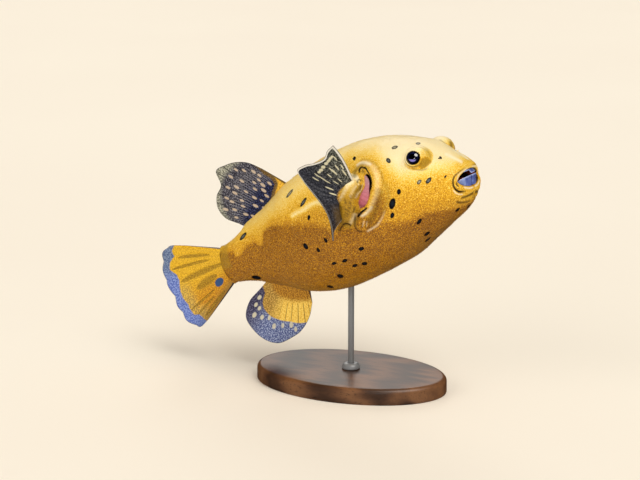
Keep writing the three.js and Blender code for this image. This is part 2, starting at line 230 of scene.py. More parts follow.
def note(thing, name, values):
    """Keeps a number, or three, on every point of a mesh, for its finish to read."""
    values = np.asarray(values, np.float32)
    kind, slot = ("FLOAT", "value") if values.ndim == 1 else ("FLOAT_VECTOR", "vector")
    layer = thing.data.attributes.new(name, kind, "POINT")
    layer.data.foreach_set(slot, values.ravel())


def ease(value, low, high):
    """0 below low, 1 above high, and a smooth rise between."""
    x = np.clip((value - low) / (high - low), 0, 1)
    return x * x * (3 - 2 * x)


def bell(value, middle, width):
    """1 at the middle, and a smooth fall to 0 on both sides."""
    return np.exp(-(((value - middle) / width) ** 2))


def rail(points):
    """A smooth curve through points, from 0 to 1, with an even step between two points."""
    inner = np.array(points, float)
    held = np.vstack([2 * inner[0] - inner[1], inner, 2 * inner[-1] - inner[-2]])

    def at(t):
        place = np.clip(t, 0, 1) * (len(inner) - 1)
        step = np.minimum(place.astype(int), len(inner) - 2)
        f = (place - step)[..., None]
        before, start, end, after = (held[step + k] for k in range(4))
        leave, arrive = (end - before) / 2, (after - start) / 2
        cubic = 2 * start - 2 * end + leave + arrive
        square = 3 * end - 3 * start - 2 * leave - arrive
        return ((cubic * f + square) * f + leave) * f + start

    return at


# %% [markdown]
# ## The body's rails
#
# A puffer's body is a barrel without corners. It could be smoothed from a rough cage, but then its
# outline would never be quite the one that was asked for. Here three rails carry it, over the back,
# along the widest level and under the belly, and rings are hung between them. The rings begin deep
# in the mouth, roll out over the lips and run back to the root of the tail, so mouth, lips and body
# are one unbroken skin. They lie closest where the face, the eyes and the gills need fine detail.

# %% Rails
# Name, top (station, height), side (station, half width, height), bottom, fullness, rings to the next.
STATIONS = [
    ("throat", (33, 8), (33, 0, 8), (33, 8), 2, 5),
    ("mouth_floor", (27, 14), (28, 14, 8), (27, 1.5), 2, 8),
    ("inner_lip", (11, 13.5), (15.5, 20, 7), (12, -0.5), 2, 12),
    ("lip_rim", (5, 14.5), (10.5, 23, 6.8), (7, -2), 2, 14),
    ("lip_crest", (4.4, 19.5), (11, 27.5, 6.2), (7.6, -8), 2.05, 18),
    ("snout_front", (8.5, 26), (17.5, 31.5, 5), (12, -14.5), 2.15, 22),
    ("snout", (19, 36.5), (27, 36, 5), (25, -23.5), 2.3, 26),
    ("brow", (33, 50), (39, 42, 6), (45, -31.5), 2.4, 32),
    ("eyes", (48, 58), (54, 47.5, 5), (66, -40.5), 2.4, 36),
    ("nape", (72, 67.5), (77, 53.5, 3), (89, -49.8), 2.3, 42),
    ("gills", (100, 72.8), (103, 57.5, 2), (114, -54.5), 2.25, 40),
    ("deepest", (130, 72.3), (132, 59, 2), (142, -58.6), 2.2, 26),
    ("flank", (162, 67), (163, 56, 2), (169, -60), 2.15, 22),
    ("loin", (190, 60), (191, 48, 2), (195, -56.5), 2.1, 20),
    ("dorsal_root", (212, 50.5), (213, 38.5, 1), (215, -50), 2.05, 20),
    ("vent", (234, 40), (235, 29.5, 0), (237, -38.5), 2, 20),
    ("stem_front", (256, 32), (257, 21.5, 0), (257, -30), 2, 16),
    ("stem", (274, 24), (275, 16.5, -0.5), (274, -24.6), 2, 14),
    ("tail_root", (289, 18.8), (290, 11.5, -0.7), (289, -21.6), 2, 12),
    ("root_edge", (298, 17), (300, 5.5, -0.8), (298, -20.5), 2, 10),
    ("root_end", (303, -0.8), (303, 0, -0.8), (303, -0.8), 2, 0),
]
AROUND = 384
SPANS = len(STATIONS) - 1
where = {row[0]: index / SPANS for index, row in enumerate(STATIONS)}

top_rail = rail([(s, 0, z) for _, (s, z), _, _, _, _ in STATIONS])
side_rail = rail([side for _, _, side, _, _, _ in STATIONS])
bottom_rail = rail([(s, 0, z) for _, _, _, (s, z), _, _ in STATIONS])
full_rail = rail([(row[4],) for row in STATIONS])


def body(t, angle):
    """The plain body at t along the rails and an angle round the ring, 0 on the back."""
    power = 2 / full_rail(t)[..., 0]
    level = side_rail(t)
    wide = level[..., 1].copy()
    level[..., 1] = 0
    up, out = np.cos(angle), np.sin(angle)
    edge = np.where(up[..., None] >= 0, top_rail(t), bottom_rail(t)) - level
    points = level + edge * (np.abs(up) ** power)[..., None]
    points[..., 1] = np.sign(out) * wide * np.abs(out) ** power
    return points


# %% The skin's grid
COAT_DEPTH = 0.35  # how far the bare skin lies inside the solids, under its prickles
FINE_ANGLE = 1.2  # the angle round the ring where eyes and gills want closer columns
FINE_SPREAD = 0.55
FINE_GAIN = 1.3
ring_steps = [np.arange(row[5]) / max(row[5], 1) + index for index, row in enumerate(STATIONS)]
ring_t = np.append(np.concatenate(ring_steps), SPANS) / SPANS
fine = np.linspace(0, math.pi, 4000)
crowding = np.cumsum(1 + FINE_GAIN * bell(fine, FINE_ANGLE, FINE_SPREAD))
half_turn = np.interp(np.linspace(crowding[0], crowding[-1], AROUND // 2 + 1), crowding, fine)
ring_angle = np.concatenate([half_turn[:-1], 2 * math.pi - half_turn[:0:-1]])
grid_t, grid_angle = np.meshgrid(ring_t, ring_angle, indexing="ij")
skin = body(grid_t, grid_angle)
print("skin grid:", skin.shape[:2])


def outward(grid):
    """The unit direction out of a closed grid at each of its points."""
    along = np.gradient(grid, axis=0)
    around = (np.roll(grid, -1, 1) - np.roll(grid, 1, 1)) / 2
    normal = np.cross(around, along)
    length = np.linalg.norm(normal, axis=-1, keepdims=True)
    normal = normal / np.maximum(length, 1e-9)
    inner_end = grid[:1] * 0 + [-1.0, 0.0, 0.0]
    outer_end = grid[:1] * 0 + [1.0, 0.0, 0.0]
    flip = np.sign(normal[len(grid) // 2, 0, 2])
    return np.concatenate([inner_end, flip * normal[1:-1], outer_end])


# %% [markdown]
# ## Raised forms: eye turrets and fin lobes
#
# The eyes of a puffer stand in bony rings, and each breast fin grows from a fleshy lobe. Balls could
# be set into the body, but a seam would show round them. So the skin itself is pushed out to the
# surface of an egg wherever it would lie inside it. A soft maximum in place of a plain one leaves a
# rounded valley where the egg meets the body.

# %% Push the skin out over eggs
TURRET = {"at": (39.5, 27.5, 39.2), "half": (13.2, 13.5, 13.2), "lean": 0.0, "soft": 0.22}
LOBE = {"at": (110.0, 52.0, 22.0), "half": (13.0, 14.0, 24.0), "lean": 0.35, "soft": 0.16}


def soft_max(a, b, width):
    """The larger of two numbers, with a rounded step between them."""
    near = np.maximum(width - np.abs(a - b), 0) / width
    return np.maximum(a, b) + near * near * width / 4


def egg_depth(points, egg, side):
    """How far out of an egg's centre points lie, where 1 is its surface."""
    centre = np.array(egg["at"]) * [1, side, 1]
    level = swung(points - centre, 0, 2, -egg["lean"]) / egg["half"]
    return np.linalg.norm(level, axis=-1), centre


def push_over(points, egg, side):
    """Carries the points inside an egg out to its surface."""
    depth, centre = egg_depth(points, egg, side)
    grown = soft_max(depth, 1, egg["soft"]) / np.maximum(depth, 1e-6)
    return centre + (points - centre) * grown[..., None]


for side in SIDES.values():
    skin = push_over(skin, TURRET, side)
    skin = push_over(skin, LOBE, side)
print("widest point of the skin:", round(float(skin[..., 1].max()), 1), "mm from the middle")

# %% [markdown]
# ## Gill openings
#
# A puffer's gill opening is a short crescent slit just before the breast fin. A thick collar of
# skin runs along its front edge and over its upper end, and a wrinkled pad lies under its lower
# end. The slit could be cut out and closed again, but a cut through a fine grid leaves ragged edges.
# So each point of the skin asks how far along the slit it is and how far behind its middle line.
# The nearest points are first moved onto the slit's edge. Then all inside it sink steeply, and
# before it the skin rises in a rounded roll.

# %% Measures of the gill slits, collars and pads
# The slit's middle line, from its upper end, as (station, height).
GILL_LINE = [(87.7, 43), (86.4, 37.5), (86.4, 32.5), (87.9, 28.2), (91, 24), (95.5, 19), (100.6, 12.9)]
# Places along the slit, 0 at its upper end, and half its width there.
GILL_WIDTHS = [
    (0, 0.5), (0.12, 2.9), (0.25, 3.6), (0.5, 3.6), (0.68, 4.4), (0.84, 4.9), (0.94, 3.8), (1, 1),
]
GILL_DEPTH = 5.2
# How far the skin rises or sinks at its fullest, and how wide each of these forms is.
COLLAR_RISE, GROOVE_SINK, REAR_LIP_RISE, PAD_RISE, PLEAT_RISE = 2.8, 0.8, 0.8, 1.3, 0.28
COLLAR_WIDTH, GROOVE_WIDTH, REAR_LIP_WIDTH = 4.2, 1.8, 1.4
GROOVE_AHEAD = 5.5  # of the collar's crest
PLEATS_PER_MM = 1.85
# Places along the slit, and how far ahead of its edge the collar is highest.
CREST_AHEAD = [(0, 5.6), (0.3, 4.8), (0.6, 4.0), (0.85, 3.6), (1, 3.6)]
# The lower rim of the wrinkled pad.
PAD_RIM = [
    (76.3, 8.8), (79.6, -0.1), (84.4, -4.6), (89.8, -7.5), (95.7, -9.1), (102.5, -10), (106, -8.4),
    (108.8, -4.9), (109.4, 0.3), (107.2, 4.7),
]


def flank_course(points, line, steps=240):
    """How far along a line on the flank points lie, 0 to 1, and how far behind or above it."""
    share = np.linspace(0, 1, steps + 1)
    course = rail(line)(share)
    flat = points[..., [0, 2]].reshape(-1, 2)
    along, behind = np.zeros(len(flat)), np.full(len(flat), 99.0)
    low, high = course.min(axis=0) - 26, course.max(axis=0) + 26
    near = np.flatnonzero(((flat > low) & (flat < high)).all(axis=1))
    for part in np.array_split(near, 40):
        apart = flat[part, None] - course
        closest = np.linalg.norm(apart, axis=-1).argmin(axis=1)
        ahead = course[np.minimum(closest + 1, steps)] - course[np.maximum(closest - 1, 0)]
        gap = apart[np.arange(len(part)), closest]
        turn = np.sign(gap[:, 1] * ahead[:, 0] - gap[:, 0] * ahead[:, 1])
        along[part] = share[closest]
        behind[part] = turn * np.linalg.norm(gap, axis=-1)
    return along.reshape(points.shape[:-1]), behind.reshape(points.shape[:-1])


def slit_half(along):
    """Half the slit's width at a share of its length."""
    return np.interp(along, *np.transpose(GILL_WIDTHS))


def snap(grid, value):
    """Moves the nearest points onto the line where value is 0, so that an edge runs along it."""
    moved = grid.copy()
    for axis in (0, 1):
        here, there = value, np.roll(value, -1, axis)
        crossing = here * there < 0
        if axis == 0:
            crossing[-1] = False
        share = np.where(crossing, here / np.where(crossing, here - there, 1), 0)[..., None]
        spot = grid + (np.roll(grid, -1, axis) - grid) * share
        first = crossing & (share[..., 0] < 0.5)
        second = crossing & ~first
        moved[first] = spot[first]
        rows, columns = np.nonzero(second)
        after = ((rows + 1) % len(grid), columns) if axis == 0 else (rows, (columns + 1) % grid.shape[1])
        moved[after] = spot[rows, columns]
    return moved


# %% Carve the gill slits
gill_along, gill_behind = flank_course(skin, GILL_LINE)
facing = np.abs(skin[..., 1]) > 25  # the flanks, and not the back or the belly
slit_edge = np.where(facing, np.abs(gill_behind) - slit_half(gill_along), 9)
skin = snap(skin, slit_edge)
gill_along, gill_behind = flank_course(skin, GILL_LINE)
half = slit_half(gill_along)
sunk = ease(half - np.abs(gill_behind), -0.1, 1.1) * facing
ends = ease(np.sin(math.pi * gill_along), 0.0, 0.30)
from_edge = np.abs(gill_behind) - half
ahead = np.where(gill_behind < 0, 1.0, ease(skin[..., 2], 46, 50)) * facing
crest_at = np.interp(gill_along, *np.transpose(CREST_AHEAD))
collar_roll = bell(from_edge, 0.8 * crest_at, COLLAR_WIDTH) * ease(from_edge, -0.5, 2.2) * ahead
groove = bell(from_edge, crest_at + GROOVE_AHEAD, GROOVE_WIDTH) * ease(gill_along, 0.03, 0.3) * ahead
rear_lip = bell(gill_behind - half, 1.6, REAR_LIP_WIDTH) * ends * facing
_, into_pad = flank_course(skin, PAD_RIM)
pad = ease(into_pad, 0, 2.2) * (1 - ease(into_pad, 6, 12)) * facing * (gill_behind < 0)
pleats = np.cos(PLEATS_PER_MM * skin[..., 0]) * pad * ease(skin[..., 0], 82, 88)
normal = outward(skin)
lift = COLLAR_RISE * collar_roll - GROOVE_SINK * groove + REAR_LIP_RISE * rear_lip
lift += PAD_RISE * pad + PLEAT_RISE * pleats
skin = skin + normal * lift[..., None]
skin[..., 1] -= np.sign(skin[..., 1]) * sunk * (GILL_DEPTH * ends)
print("gill slits cut; points inside them:", int((sunk > 0.5).sum()))

# %% [markdown]
# ## Lines of the skin
#
# Loose skin creases where it bends: round the gill's collar, down the fin lobe, behind the lips and
# under the chin. A crease is a shallow valley and a ridge a low crest. Each line also carries a
# painted shade: shadow is painted into the valleys and onto the shaded sides of forms, and highlight
# onto crests and lit places. They could be sculpted one by one, but kept in one list they can be
# named, and one loop carves them and notes their painted shade and highlight.

# %% The list of lines
# Half width, height (a groove is below 0), painted shade (a painted highlight is below 0, and above 1
# the whole width is dark), fading (shares at start and end) and course: (station, height) on the
# flank, or (station, left, height) about the mouth and eyes. A name that starts with left is drawn on
# that side alone.
# A wrinkle carries painted shade in its valley, and a streak is a painted highlight.
WRINKLE = (0.45, -0.3, 0.85, (1, 1))
STREAK = (0.6, 0.2, -0.45, (1, 1))
LINES = {
    "gill hook": (0.75, -0.9, 2.0, (1, 1), [
        (93.2, 45.0), (92.7, 47.6), (90.5, 49.2), (87.9, 48.7), (85.4, 47.4), (84.0, 44.2), (83.2, 40.9),
        (82.3, 36.5), (82.8, 31.3), (84.9, 26.3)]),
    "hook's hollow": (2.3, -0.4, 0.72, (1, 0.4), [
        (98.0, 41.5), (98.3, 46.3), (95.6, 48.9), (92.4, 50.4), (89, 50.6), (84.5, 48.8), (80.9, 44.8)]),
    "tab": (1.7, 0.2, 0.64, (1, 0.6), [(90.6, 46.4), (88.6, 44.4), (87.4, 41.8)]),
    "lower slit": (0.95, -1.4, 2.4, (1, 1), [(91.8, 12.0), (95.2, 10.4), (99.0, 9.0), (103.4, 6.6)]),
    "slit's rear wall": (0.5, 0, 0.7, (1, 1), [
        (90.6, 40.5), (90.4, 36), (91.0, 32.2), (93.4, 28.4), (96.6, 25), (99.6, 21)]),
    "collar's top gleam": (1.3, 0.3, -1.0, (1, 1), [
        (96, 52.2), (93.1, 53.1), (90.4, 53.6), (86.4, 52.6), (83.2, 51), (78.9, 47.9)]),
    "collar's crest": (2.0, 0.2, -0.32, (1.2, 1), [
        (80, 48.6), (76.5, 42.8), (75.4, 36), (76.4, 28.4), (79.6, 21.0), (84.1, 15.3), (88.3, 11.0)]),
    "collar's lower gleam": (1.3, 0.3, -1.0, (0.8, 1), [
        (86.9, 12.2), (89.4, 9.5), (92.8, 7.9), (96.8, 6.1), (101.2, 5.6)]),
    "collar's hollow": (1.3, -0.2, 0.14, (0.8, 1), [
        (86, 49.8), (80.8, 45.6), (79.0, 39), (79.2, 32.5), (81.4, 26), (84.8, 19.8), (89.5, 15.0)]),
    "collar's outer edge": (1.2, -0.4, 0.34, (0.6, 1), [
        (94.1, 56.2), (88.8, 55.6), (82.6, 53.3), (75.6, 47.2), (71.9, 39.2), (71.3, 31.5), (73.9, 22.8)]),
    "collar's shade": (3.0, 0, 0.42, (0.7, 1), [
        (70.8, 31), (69.3, 23.1), (69.8, 16.4), (73.1, 9.9), (77.6, 4.6), (82.5, -1.1)]),
    "pad's shade": (4.8, 0, 0.72, (0.6, 1), [
        (74.5, 25.5), (78.3, 16.3), (84.2, 8.4), (91.5, 1.4), (98, -2.4)]),
    "pad's rear edge": (0.6, -0.6, 1.1, (0.8, 1), [
        (105.6, 8.0), (108.2, 4), (110.1, 0.9), (111, -3.0), (109.6, -6.6), (105.2, -9.1)]),
    "pad's rear fold": (0.5, -0.4, 0.8, (1, 1), [(102.6, 6.4), (104.9, 3.6), (106.3, 1.1), (107.3, -2.8)]),
    "pad's first wrinkle": (*WRINKLE, [(100.4, 3.4), (102.6, -1), (104.9, -5.6)]),
    "pad's second wrinkle": (*WRINKLE, [(97.0, 2.3), (99, -2.4), (100.8, -6.8)]),
    "pad's third wrinkle": (*WRINKLE, [(93.4, 2.0), (95.2, -2.2), (96.8, -6.3)]),
    "pad's first streak": (*STREAK, [(103.2, -4.4), (101.2, -1.4), (99.2, 0.9)]),
    "pad's second streak": (*STREAK, [(99.4, -5.4), (98.2, -2.6), (97.0, -0.4)]),
    "pad's rim": (0.8, 0.3, -0.7, (0.25, 1), [
        (76.8, 4.4), (79.4, 0.6), (83.1, -3.0), (86.8, -5.6), (90, -7.6), (95.7, -8.9), (102.2, -10.2)]),
    "pad's front edge": (0.6, -0.5, 0.9, (0.6, 1), [
        (77.6, 6.0), (81.0, 1.2), (84.5, -2.0), (90.3, -5.6), (95.6, -6.9), (101.6, -7.3)]),
    "lobe's curl": (0.6, -0.4, 0.9, (1, 1), [(96.2, 36.4), (95.4, 38.6), (94.0, 39.2), (92.0, 36.8)]),
    "lobe's hollow": (1.5, -0.6, 0.75, (1, 0.8), [(92.6, 33.8), (95.2, 30.8), (97.8, 27), (101.1, 24.2)]),
    "lobe's bright edge": (0.7, 0.2, -0.75, (1, 0.6), [
        (94.7, 35.9), (97.4, 32.4), (100.6, 28.6), (102, 26.5)]),
    "lobe's front rim": (0.6, 0.2, -0.6, (1, 1), [(90.9, 34), (93.0, 30.2), (95.9, 26.4), (98.4, 22.9)]),
    "lobe's fringe": (2.5, 0.3, -1.0, (0.8, 1), [(104.5, 37.4), (101, 38.8), (98, 40.5), (94, 41.8)]),
    "lobe's upper edge": (1.5, 0.2, -0.7, (1, 0.6), [(101, 37), (105, 33.9), (111.6, 29.1), (118, 25.5)]),
    "lobe's rear shade": (2.6, -0.2, 0.62, (0.6, 1), [
        (113.8, 22.6), (117.8, 15.8), (123.7, 8.6), (126.8, 2.3), (129.8, -2.9)]),
    "lobe's rear fold": (0.6, -0.6, 0.95, (1, 1), [(115, 25.5), (115.6, 20), (118.4, 14.7), (124, 5.5)]),
    "lobe's middle fold": (0.55, -0.6, 0.9, (0.9, 1), [
        (107.2, 27.5), (107.5, 24), (110, 16.6), (115.8, 8.8)]),
    "lobe's front fold": (0.6, -0.6, 1.0, (0.8, 1), [
        (100.2, 28.5), (102.2, 24.9), (104.2, 20.8), (106.5, 16.9), (112.4, 8.6)]),
    "lobe's lower fold": (0.6, -0.6, 0.9, (1, 0.8), [(99.2, 20.1), (102.7, 14.8), (106.2, 10.4)]),
    "lobe's foot": (0.75, -0.6, 1.4, (0.9, 0.9), [
        (128, -1.6), (125.5, 0.8), (122.4, 3.3), (118.6, 3.5), (116.1, 2.3), (114.3, -0.4)]),
    "lobe's bright foot": (1.3, 0, -0.45, (0.8, 1), [
        (114.6, 1.6), (111.2, 4.2), (107.3, 6.9), (104.5, 10.4)]),
    "groove behind the lips": (0.65, -1.0, 1.6, (0.25, 1.2), [
        (4.5, 5.6, 16.1), (5.4, 15.8, 15.6), (7.9, 22.6, 14.2), (11.0, 26, 11.9), (12.9, 27.6, 8.3),
        (13.6, 27.9, 4.2), (12.9, 27.0, 0.2), (11.6, 24.1, -2.7), (9.3, 19.8, -3.7)]),
    "groove's deep end": (1.1, -0.3, 0.9, (1, 0.8), [
        (13.2, 27.5, 1.2), (12.2, 25.2, -1.8), (10.2, 21.2, -3.7), (8.6, 17, -4.4)]),
    "corner of the mouth": (0.6, -0.3, 1.3, (1, 1), [
        (10.4, 25.4, 6.6), (10.8, 26.4, 4.4), (10.2, 25.4, 2.2)]),
    "chin's upper fold": (1.4, -1.1, 1.0, (0.8, 1), [
        (13.2, 21.6, -8.7), (11.3, 15.6, -9.6), (9.7, 8.2, -9.4), (8.6, 1.4, -9.1)]),
    "chin's lower fold": (1.2, -0.9, 0.9, (1, 0.7), [
        (17.9, 24.6, -10.7), (16.7, 18.4, -13.2), (14.3, 9.6, -15.0), (13, 3.5, -15.2)]),
    "chin's shade": (2.8, 0, 0.45, (1, 1), [(7.6, 3, -6.5), (8.6, 2.4, -9.6), (11.6, 0.9, -14)]),
    "lower lip's crest": (0.8, 0.2, -1.0, (0.8, 1), [
        (8.6, 19, 0), (7.9, 15.3, -1.6), (7.4, 11, -2.9), (7.1, 6, -3.5), (7, 1.5, -3.6)]),
    "upper lip's crest": (0.8, 0.2, -0.85, (1, 0.8), [
        (10.2, 24.9, 7.6), (9.2, 24.2, 10), (7.4, 21.6, 12.6), (6.1, 15.2, 14.2), (5.2, 4.6, 15.2)]),
    "cheek's rim by the lips": (0.7, 0.2, -0.8, (1, 1), [
        (14.9, 28.4, 1.2), (14.2, 27.4, -2.0), (12.4, 24.4, -4.8), (10.8, 20.6, -6)]),
    "snout's bridge": (3.2, 0, -1.0, (1, 0.9), [
        (19.5, 9.2, 35.8), (15.6, 9.6, 32.2), (11.4, 9.4, 28), (8.2, 8.4, 24.4), (6.2, 7, 21.8)]),
    "turret's front": (0.6, -0.25, 0.42, (0.6, 1), [
        (39.2, 33.3, 50.7), (34.8, 32.6, 49.9), (31.5, 30.9, 48.6), (28.8, 29.4, 46.2), (27.2, 27.4, 42.8),
        (26.6, 26.4, 38.9), (26.8, 27.4, 34.9), (27.4, 30.2, 30.9)]),
    "turret's foot": (0.9, -0.25, 0.50, (1, 1), [
        (43, 38.9, 32.8), (40.6, 38.8, 31), (37.5, 38.4, 29.6), (33.8, 36.8, 28), (29.6, 33.7, 28)]),
    "left turret's brown patch": (2.6, 0, 0.75, (1, 1), [
        (27.8, 26.6, 43.6), (26.8, 25.2, 40), (24.6, 20.6, 37.0)]),
    "left turret's stroke": (1.5, 0, 0.40, (1, 1), [
        (34.7, 19.8, 48.9), (31.9, 18.6, 46.5), (28.6, 17.2, 43.2)]),
    "end of the stem's flesh": (1.0, -0.2, 0.55, (1, 1), [
        (294.5, 13.5), (298.5, 9), (300.5, 3), (300.2, -5), (297, -12), (292.5, -19.5)]),
}


def nearness(points, normal, line, reach, fade):
    """How near points lie to a line over the skin, 1 on it and 0 away, on both sides of the fish."""
    share = np.linspace(0, 1, 120)
    course = rail(line)(share)
    mirror = np.where(points[..., 1:2] < 0, [1, -1, 1], [1, 1, 1])
    flat, way = (points * mirror).reshape(-1, 3), (normal * mirror).reshape(-1, 3)
    across = np.array([0, 2]) if course.shape[1] == 2 else np.array([0, 1, 2])
    low, high = course.min(axis=0) - 6, course.max(axis=0) + 6
    near = np.flatnonzero(((flat[:, across] > low) & (flat[:, across] < high)).all(axis=1))
    result = np.zeros(len(flat))
    for part in np.array_split(near, 1 + len(near) // 4000):
        gap = flat[part][:, None, across] - course
        apart = (gap**2).sum(axis=-1)
        if len(across) == 3:
            deep = np.einsum("ijk,ik->ij", gap, way[part])
            apart = apart - deep**2 + 99.0 * (np.abs(deep) > 5)
        closest = apart.argmin(axis=1)
        distance = np.sqrt(np.maximum(apart[np.arange(len(part)), closest], 0))
        place = share[closest]
        taper = np.clip(10 * place * (1 - place), 0, 1) ** 0.5 * (fade[0] + (fade[1] - fade[0]) * place)
        result[part] = bell(distance, 0, reach) * taper
    sideways = np.abs(normal[..., 1]) > 0.25 if len(across) == 2 else 1.0
    return result.reshape(points.shape[:-1]) * sideways


# %% Carve the lines
normal = outward(skin)
carved, shade_line, highlight_line = (np.zeros(skin.shape[:2]) for _ in range(3))
for name, (half_width, rise, shade, fade, course) in LINES.items():
    near = nearness(skin, normal, course, half_width, fade)
    if name.startswith("left"):
        near = near * (skin[..., 1] > 0)
    carved += rise * near
    # Painted shadow goes to one record and painted highlight to the other.
    target = shade_line if shade > 0 else highlight_line
    np.maximum(target, abs(shade) * near, out=target)
print(len(LINES), "lines drawn over the skin")

# %% Fuller lips and the unrest of living skin
LIP_FULLNESS, UNREST = 0.35, 0.16
lobe_depth = np.minimum(*(egg_depth(skin, LOBE, side)[0] for side in SIDES.values()))
on_lobe = ease(1.22 - lobe_depth, 0, 0.15) * facing
ring_index = grid_t * SPANS
outside_mouth = ease(ring_index, 3.2, 4.2)
lip_fullness = LIP_FULLNESS * bell(ring_index, 4.0, 0.35)
wander = skin / 10
unrest = (
    np.sin(wander[..., 0] * 1.7 + wander[..., 2] * 1.1)
    * np.sin(wander[..., 1] * 1.9 + 1.3)
    + 0.6 * np.sin(wander[..., 0] * 3.1 - wander[..., 2] * 2.7 + wander[..., 1] * 2.2)
)
shift = lip_fullness + carved + UNREST * unrest * outside_mouth
skin = skin + normal * (shift * (1 - sunk))[..., None]
print("skin moved along its normals by", round(float(np.abs(shift).max()), 2), "mm at most")

# %% [markdown]
# ## Fin roots
#
# Where the single fins leave the body, the skin climbs a little way up them. A strip of mesh could
# cover the joint, but it would have edges of its own, so the body swells along each root line, most
# at the fin itself.

# %% Fillets at the fins' roots
# First and last station of each root, and 1 on the back or -1 on the belly.
ROOT_SPANS = {"dorsal": (199, 262, 1), "anal": (213, 258, -1)}
FILLET_RISE, FILLET_HALF_WIDTH = 2.0, 5.0
normal = outward(skin)
climb = np.zeros(skin.shape[:2])
for start, end, up in ROOT_SPANS.values():
    along_root = ease(skin[..., 0], start - 8, start + 4) * (1 - ease(skin[..., 0], end - 6, end + 8))
    climb += FILLET_RISE * along_root * bell(skin[..., 1], 0, FILLET_HALF_WIDTH) * (normal[..., 2] * up > 0.3)
skin = skin + normal * climb[..., None]
print("highest fillet:", round(float(climb.max()), 2), "mm")

# %% [markdown]
# ## Eye sockets and lids
#
# A puffer has no lashes or folding lid, only a smooth rim of skin that hugs the eyeball. A hole could
# be cut for the ball, but then the skin would no longer be closed. So within the opening it is
# wrapped right round behind the ball, as a socket, and never cuts through the eye. Outside it, the
# skin leaves the ball as a rounded rim and eases back to the turret.

# %% Sockets
EYE = {"at": (39.5, 34.8, 40.8), "radius": 8.2, "opening": 6.7, "looks": (-0.30, 0.93, 0.20)}
EYE_REGION = {"above": -6, "within": 14}  # height along the line of sight, and distance from it
BALL_GAP = 0.1
RIM_THICKNESS, RIM_ROUND = 0.75, 0.9
LID_EASE = (7.0, 12.5)  # distances where the lid leaves the ball and meets the turret


def eye_frame(side):
    """An eye's centre and the direction in which it looks."""
    centre = np.array(EYE["at"]) * [1, side, 1]
    looks = np.array(EYE["looks"]) * [1, side, 1]
    return centre, looks / np.linalg.norm(looks)


def about_eye(points, side):
    """Height along the eye's line of sight, distance from that line, and the way out from it."""
    centre, looks = eye_frame(side)
    reach = points - centre
    high = reach @ looks
    out = reach - high[..., None] * looks
    wide = np.linalg.norm(out, axis=-1)
    return high, wide, out / np.maximum(wide, 1e-6)[..., None]


def near_eye(high, wide):
    """Whether points belong to the eye's surroundings."""
    return (high > EYE_REGION["above"]) & (wide < EYE_REGION["within"])


def seat_eye(points, side):
    """Wraps the skin round behind one eyeball, and lays a rounded rim on it."""
    centre, looks = eye_frame(side)
    high, wide, out = about_eye(points, side)
    points = snap(points, np.where(near_eye(high, wide), wide - EYE["opening"], 9))
    high, wide, out = about_eye(points, side)
    near = near_eye(high, wide)
    ball, opening = EYE["radius"] + BALL_GAP, EYE["opening"]
    rim = ball + RIM_THICKNESS * np.sin(np.clip((wide - opening) / RIM_ROUND, 0, 1) * math.pi / 2)
    on_ball = np.sqrt(np.maximum(rim**2 - wide**2, 0))
    share = ease(wide, *LID_EASE)
    lid = centre + looks * (on_ball * (1 - share) + high * share)[..., None] + out * wide[..., None]
    start = math.asin(opening / ball)
    swing = start + (math.pi - start) * (1 - np.clip(wide / opening, 0, 1)) ** 0.8
    deep = ball + 0.25 * ease(1 - wide / opening, 0, 0.3)
    level = np.cos(swing)[..., None] * looks + np.sin(swing)[..., None] * out
    pocket = centre + deep[..., None] * level
    inside = (near & (wide < opening - 1e-4))[..., None]
    return np.where(inside, pocket, np.where(near[..., None], lid, points))


before_eyes = skin
for side in SIDES.values():
    skin = seat_eye(skin, side)
    high, wide, out = about_eye(skin, side)
    # A thin painted shadow on the lid's rim, behind and below the ball.
    behind_and_below = ease(out @ np.array([0.80, 0.0, -0.60]), -0.2, 0.5)
    rim = bell(wide, 8.3, 0.5) * (high > 0) * behind_and_below
    np.maximum(shade_line, 0.85 * rim, out=shade_line)
socket = np.linalg.norm(skin - before_eyes, axis=-1)
print("left eye is seated at", to_room(EYE["at"]).round(4))
print("skin moved at the eyes by up to", round(float(socket.max()), 1), "mm")

# %% [markdown]
# ## Where the colours lie
#
# The skin fades from cream on the back through gold to ochre below: partly the golden fish's own
# colour, and partly painted light on the back and painted shade on the belly. That could be painted
# as an image, but paint can't follow a skin whose shape still changes. A single number per point, its
# tone, holds it instead: 0 is palest and 1 darkest. Two lines along the body part the three zones.
# The finish later scatters this tone with fine noise, so the zones break up into stipple where they
# meet. A second number, olive_shade, is painted shade: it greens the shaded sides of turrets and
# lobes and the tail's root.

# %% Lines between the colours
# Height of each line at a station.
OCHRE_LINE = [
    (0, -16), (21, -18), (31, -14), (45, -12), (59, -14), (74, -11), (88, -6), (105, -4), (119, 0),
    (134, 0), (142, 6), (151, 10.5), (165, 14.5), (186, 19), (211, 23.2), (225, 20), (231, 8), (235, 7),
    (243, 12.5), (256, 11), (266, 4), (273, 4), (277, 10), (303, 12),
]
CREAM_LINE = [
    (0, 12), (10, 20), (20, 23), (28, 24), (42, 25), (54, 28), (61, 37), (78, 57), (105, 63),
    (137, 46), (164, 43), (186, 38), (221, 29), (260, 24), (303, 20),
]
# A thin painted highlight along the rear flank.
HIGHLIGHT_STREAK = [(177.5, 26.3), (170.1, 27.6), (161.8, 28.6), (152.2, 31), (144.5, 31.5), (138.9, 29.6)]
# Stations, and how much paler than the gold the back is there, partly as painted light.
BACK_PALE = [(0, 0.27), (25, 0.27), (45, 0.29), (60, 0.30), (110, 0.20), (150, 0.13), (300, 0.10)]
# Heights, and the tone of the fin lobe there: paler towards its top and darker below, partly as
# painted light and shade.
LOBE_TONES = [(4, 0.78), (20, 0.68), (30, 0.47), (36, 0.30), (41, 0.04)]
# Stations, and over how many millimetres gold turns to ochre there.
OCHRE_SOFT = [
    (0, 5), (20, 3), (50, 3), (75, 6), (90, 9), (130, 7), (150, 5), (180, 5), (200, 2), (303, 1.6),
]
print("tones are laid out by", len(OCHRE_LINE) + len(CREAM_LINE), "heights along the body")

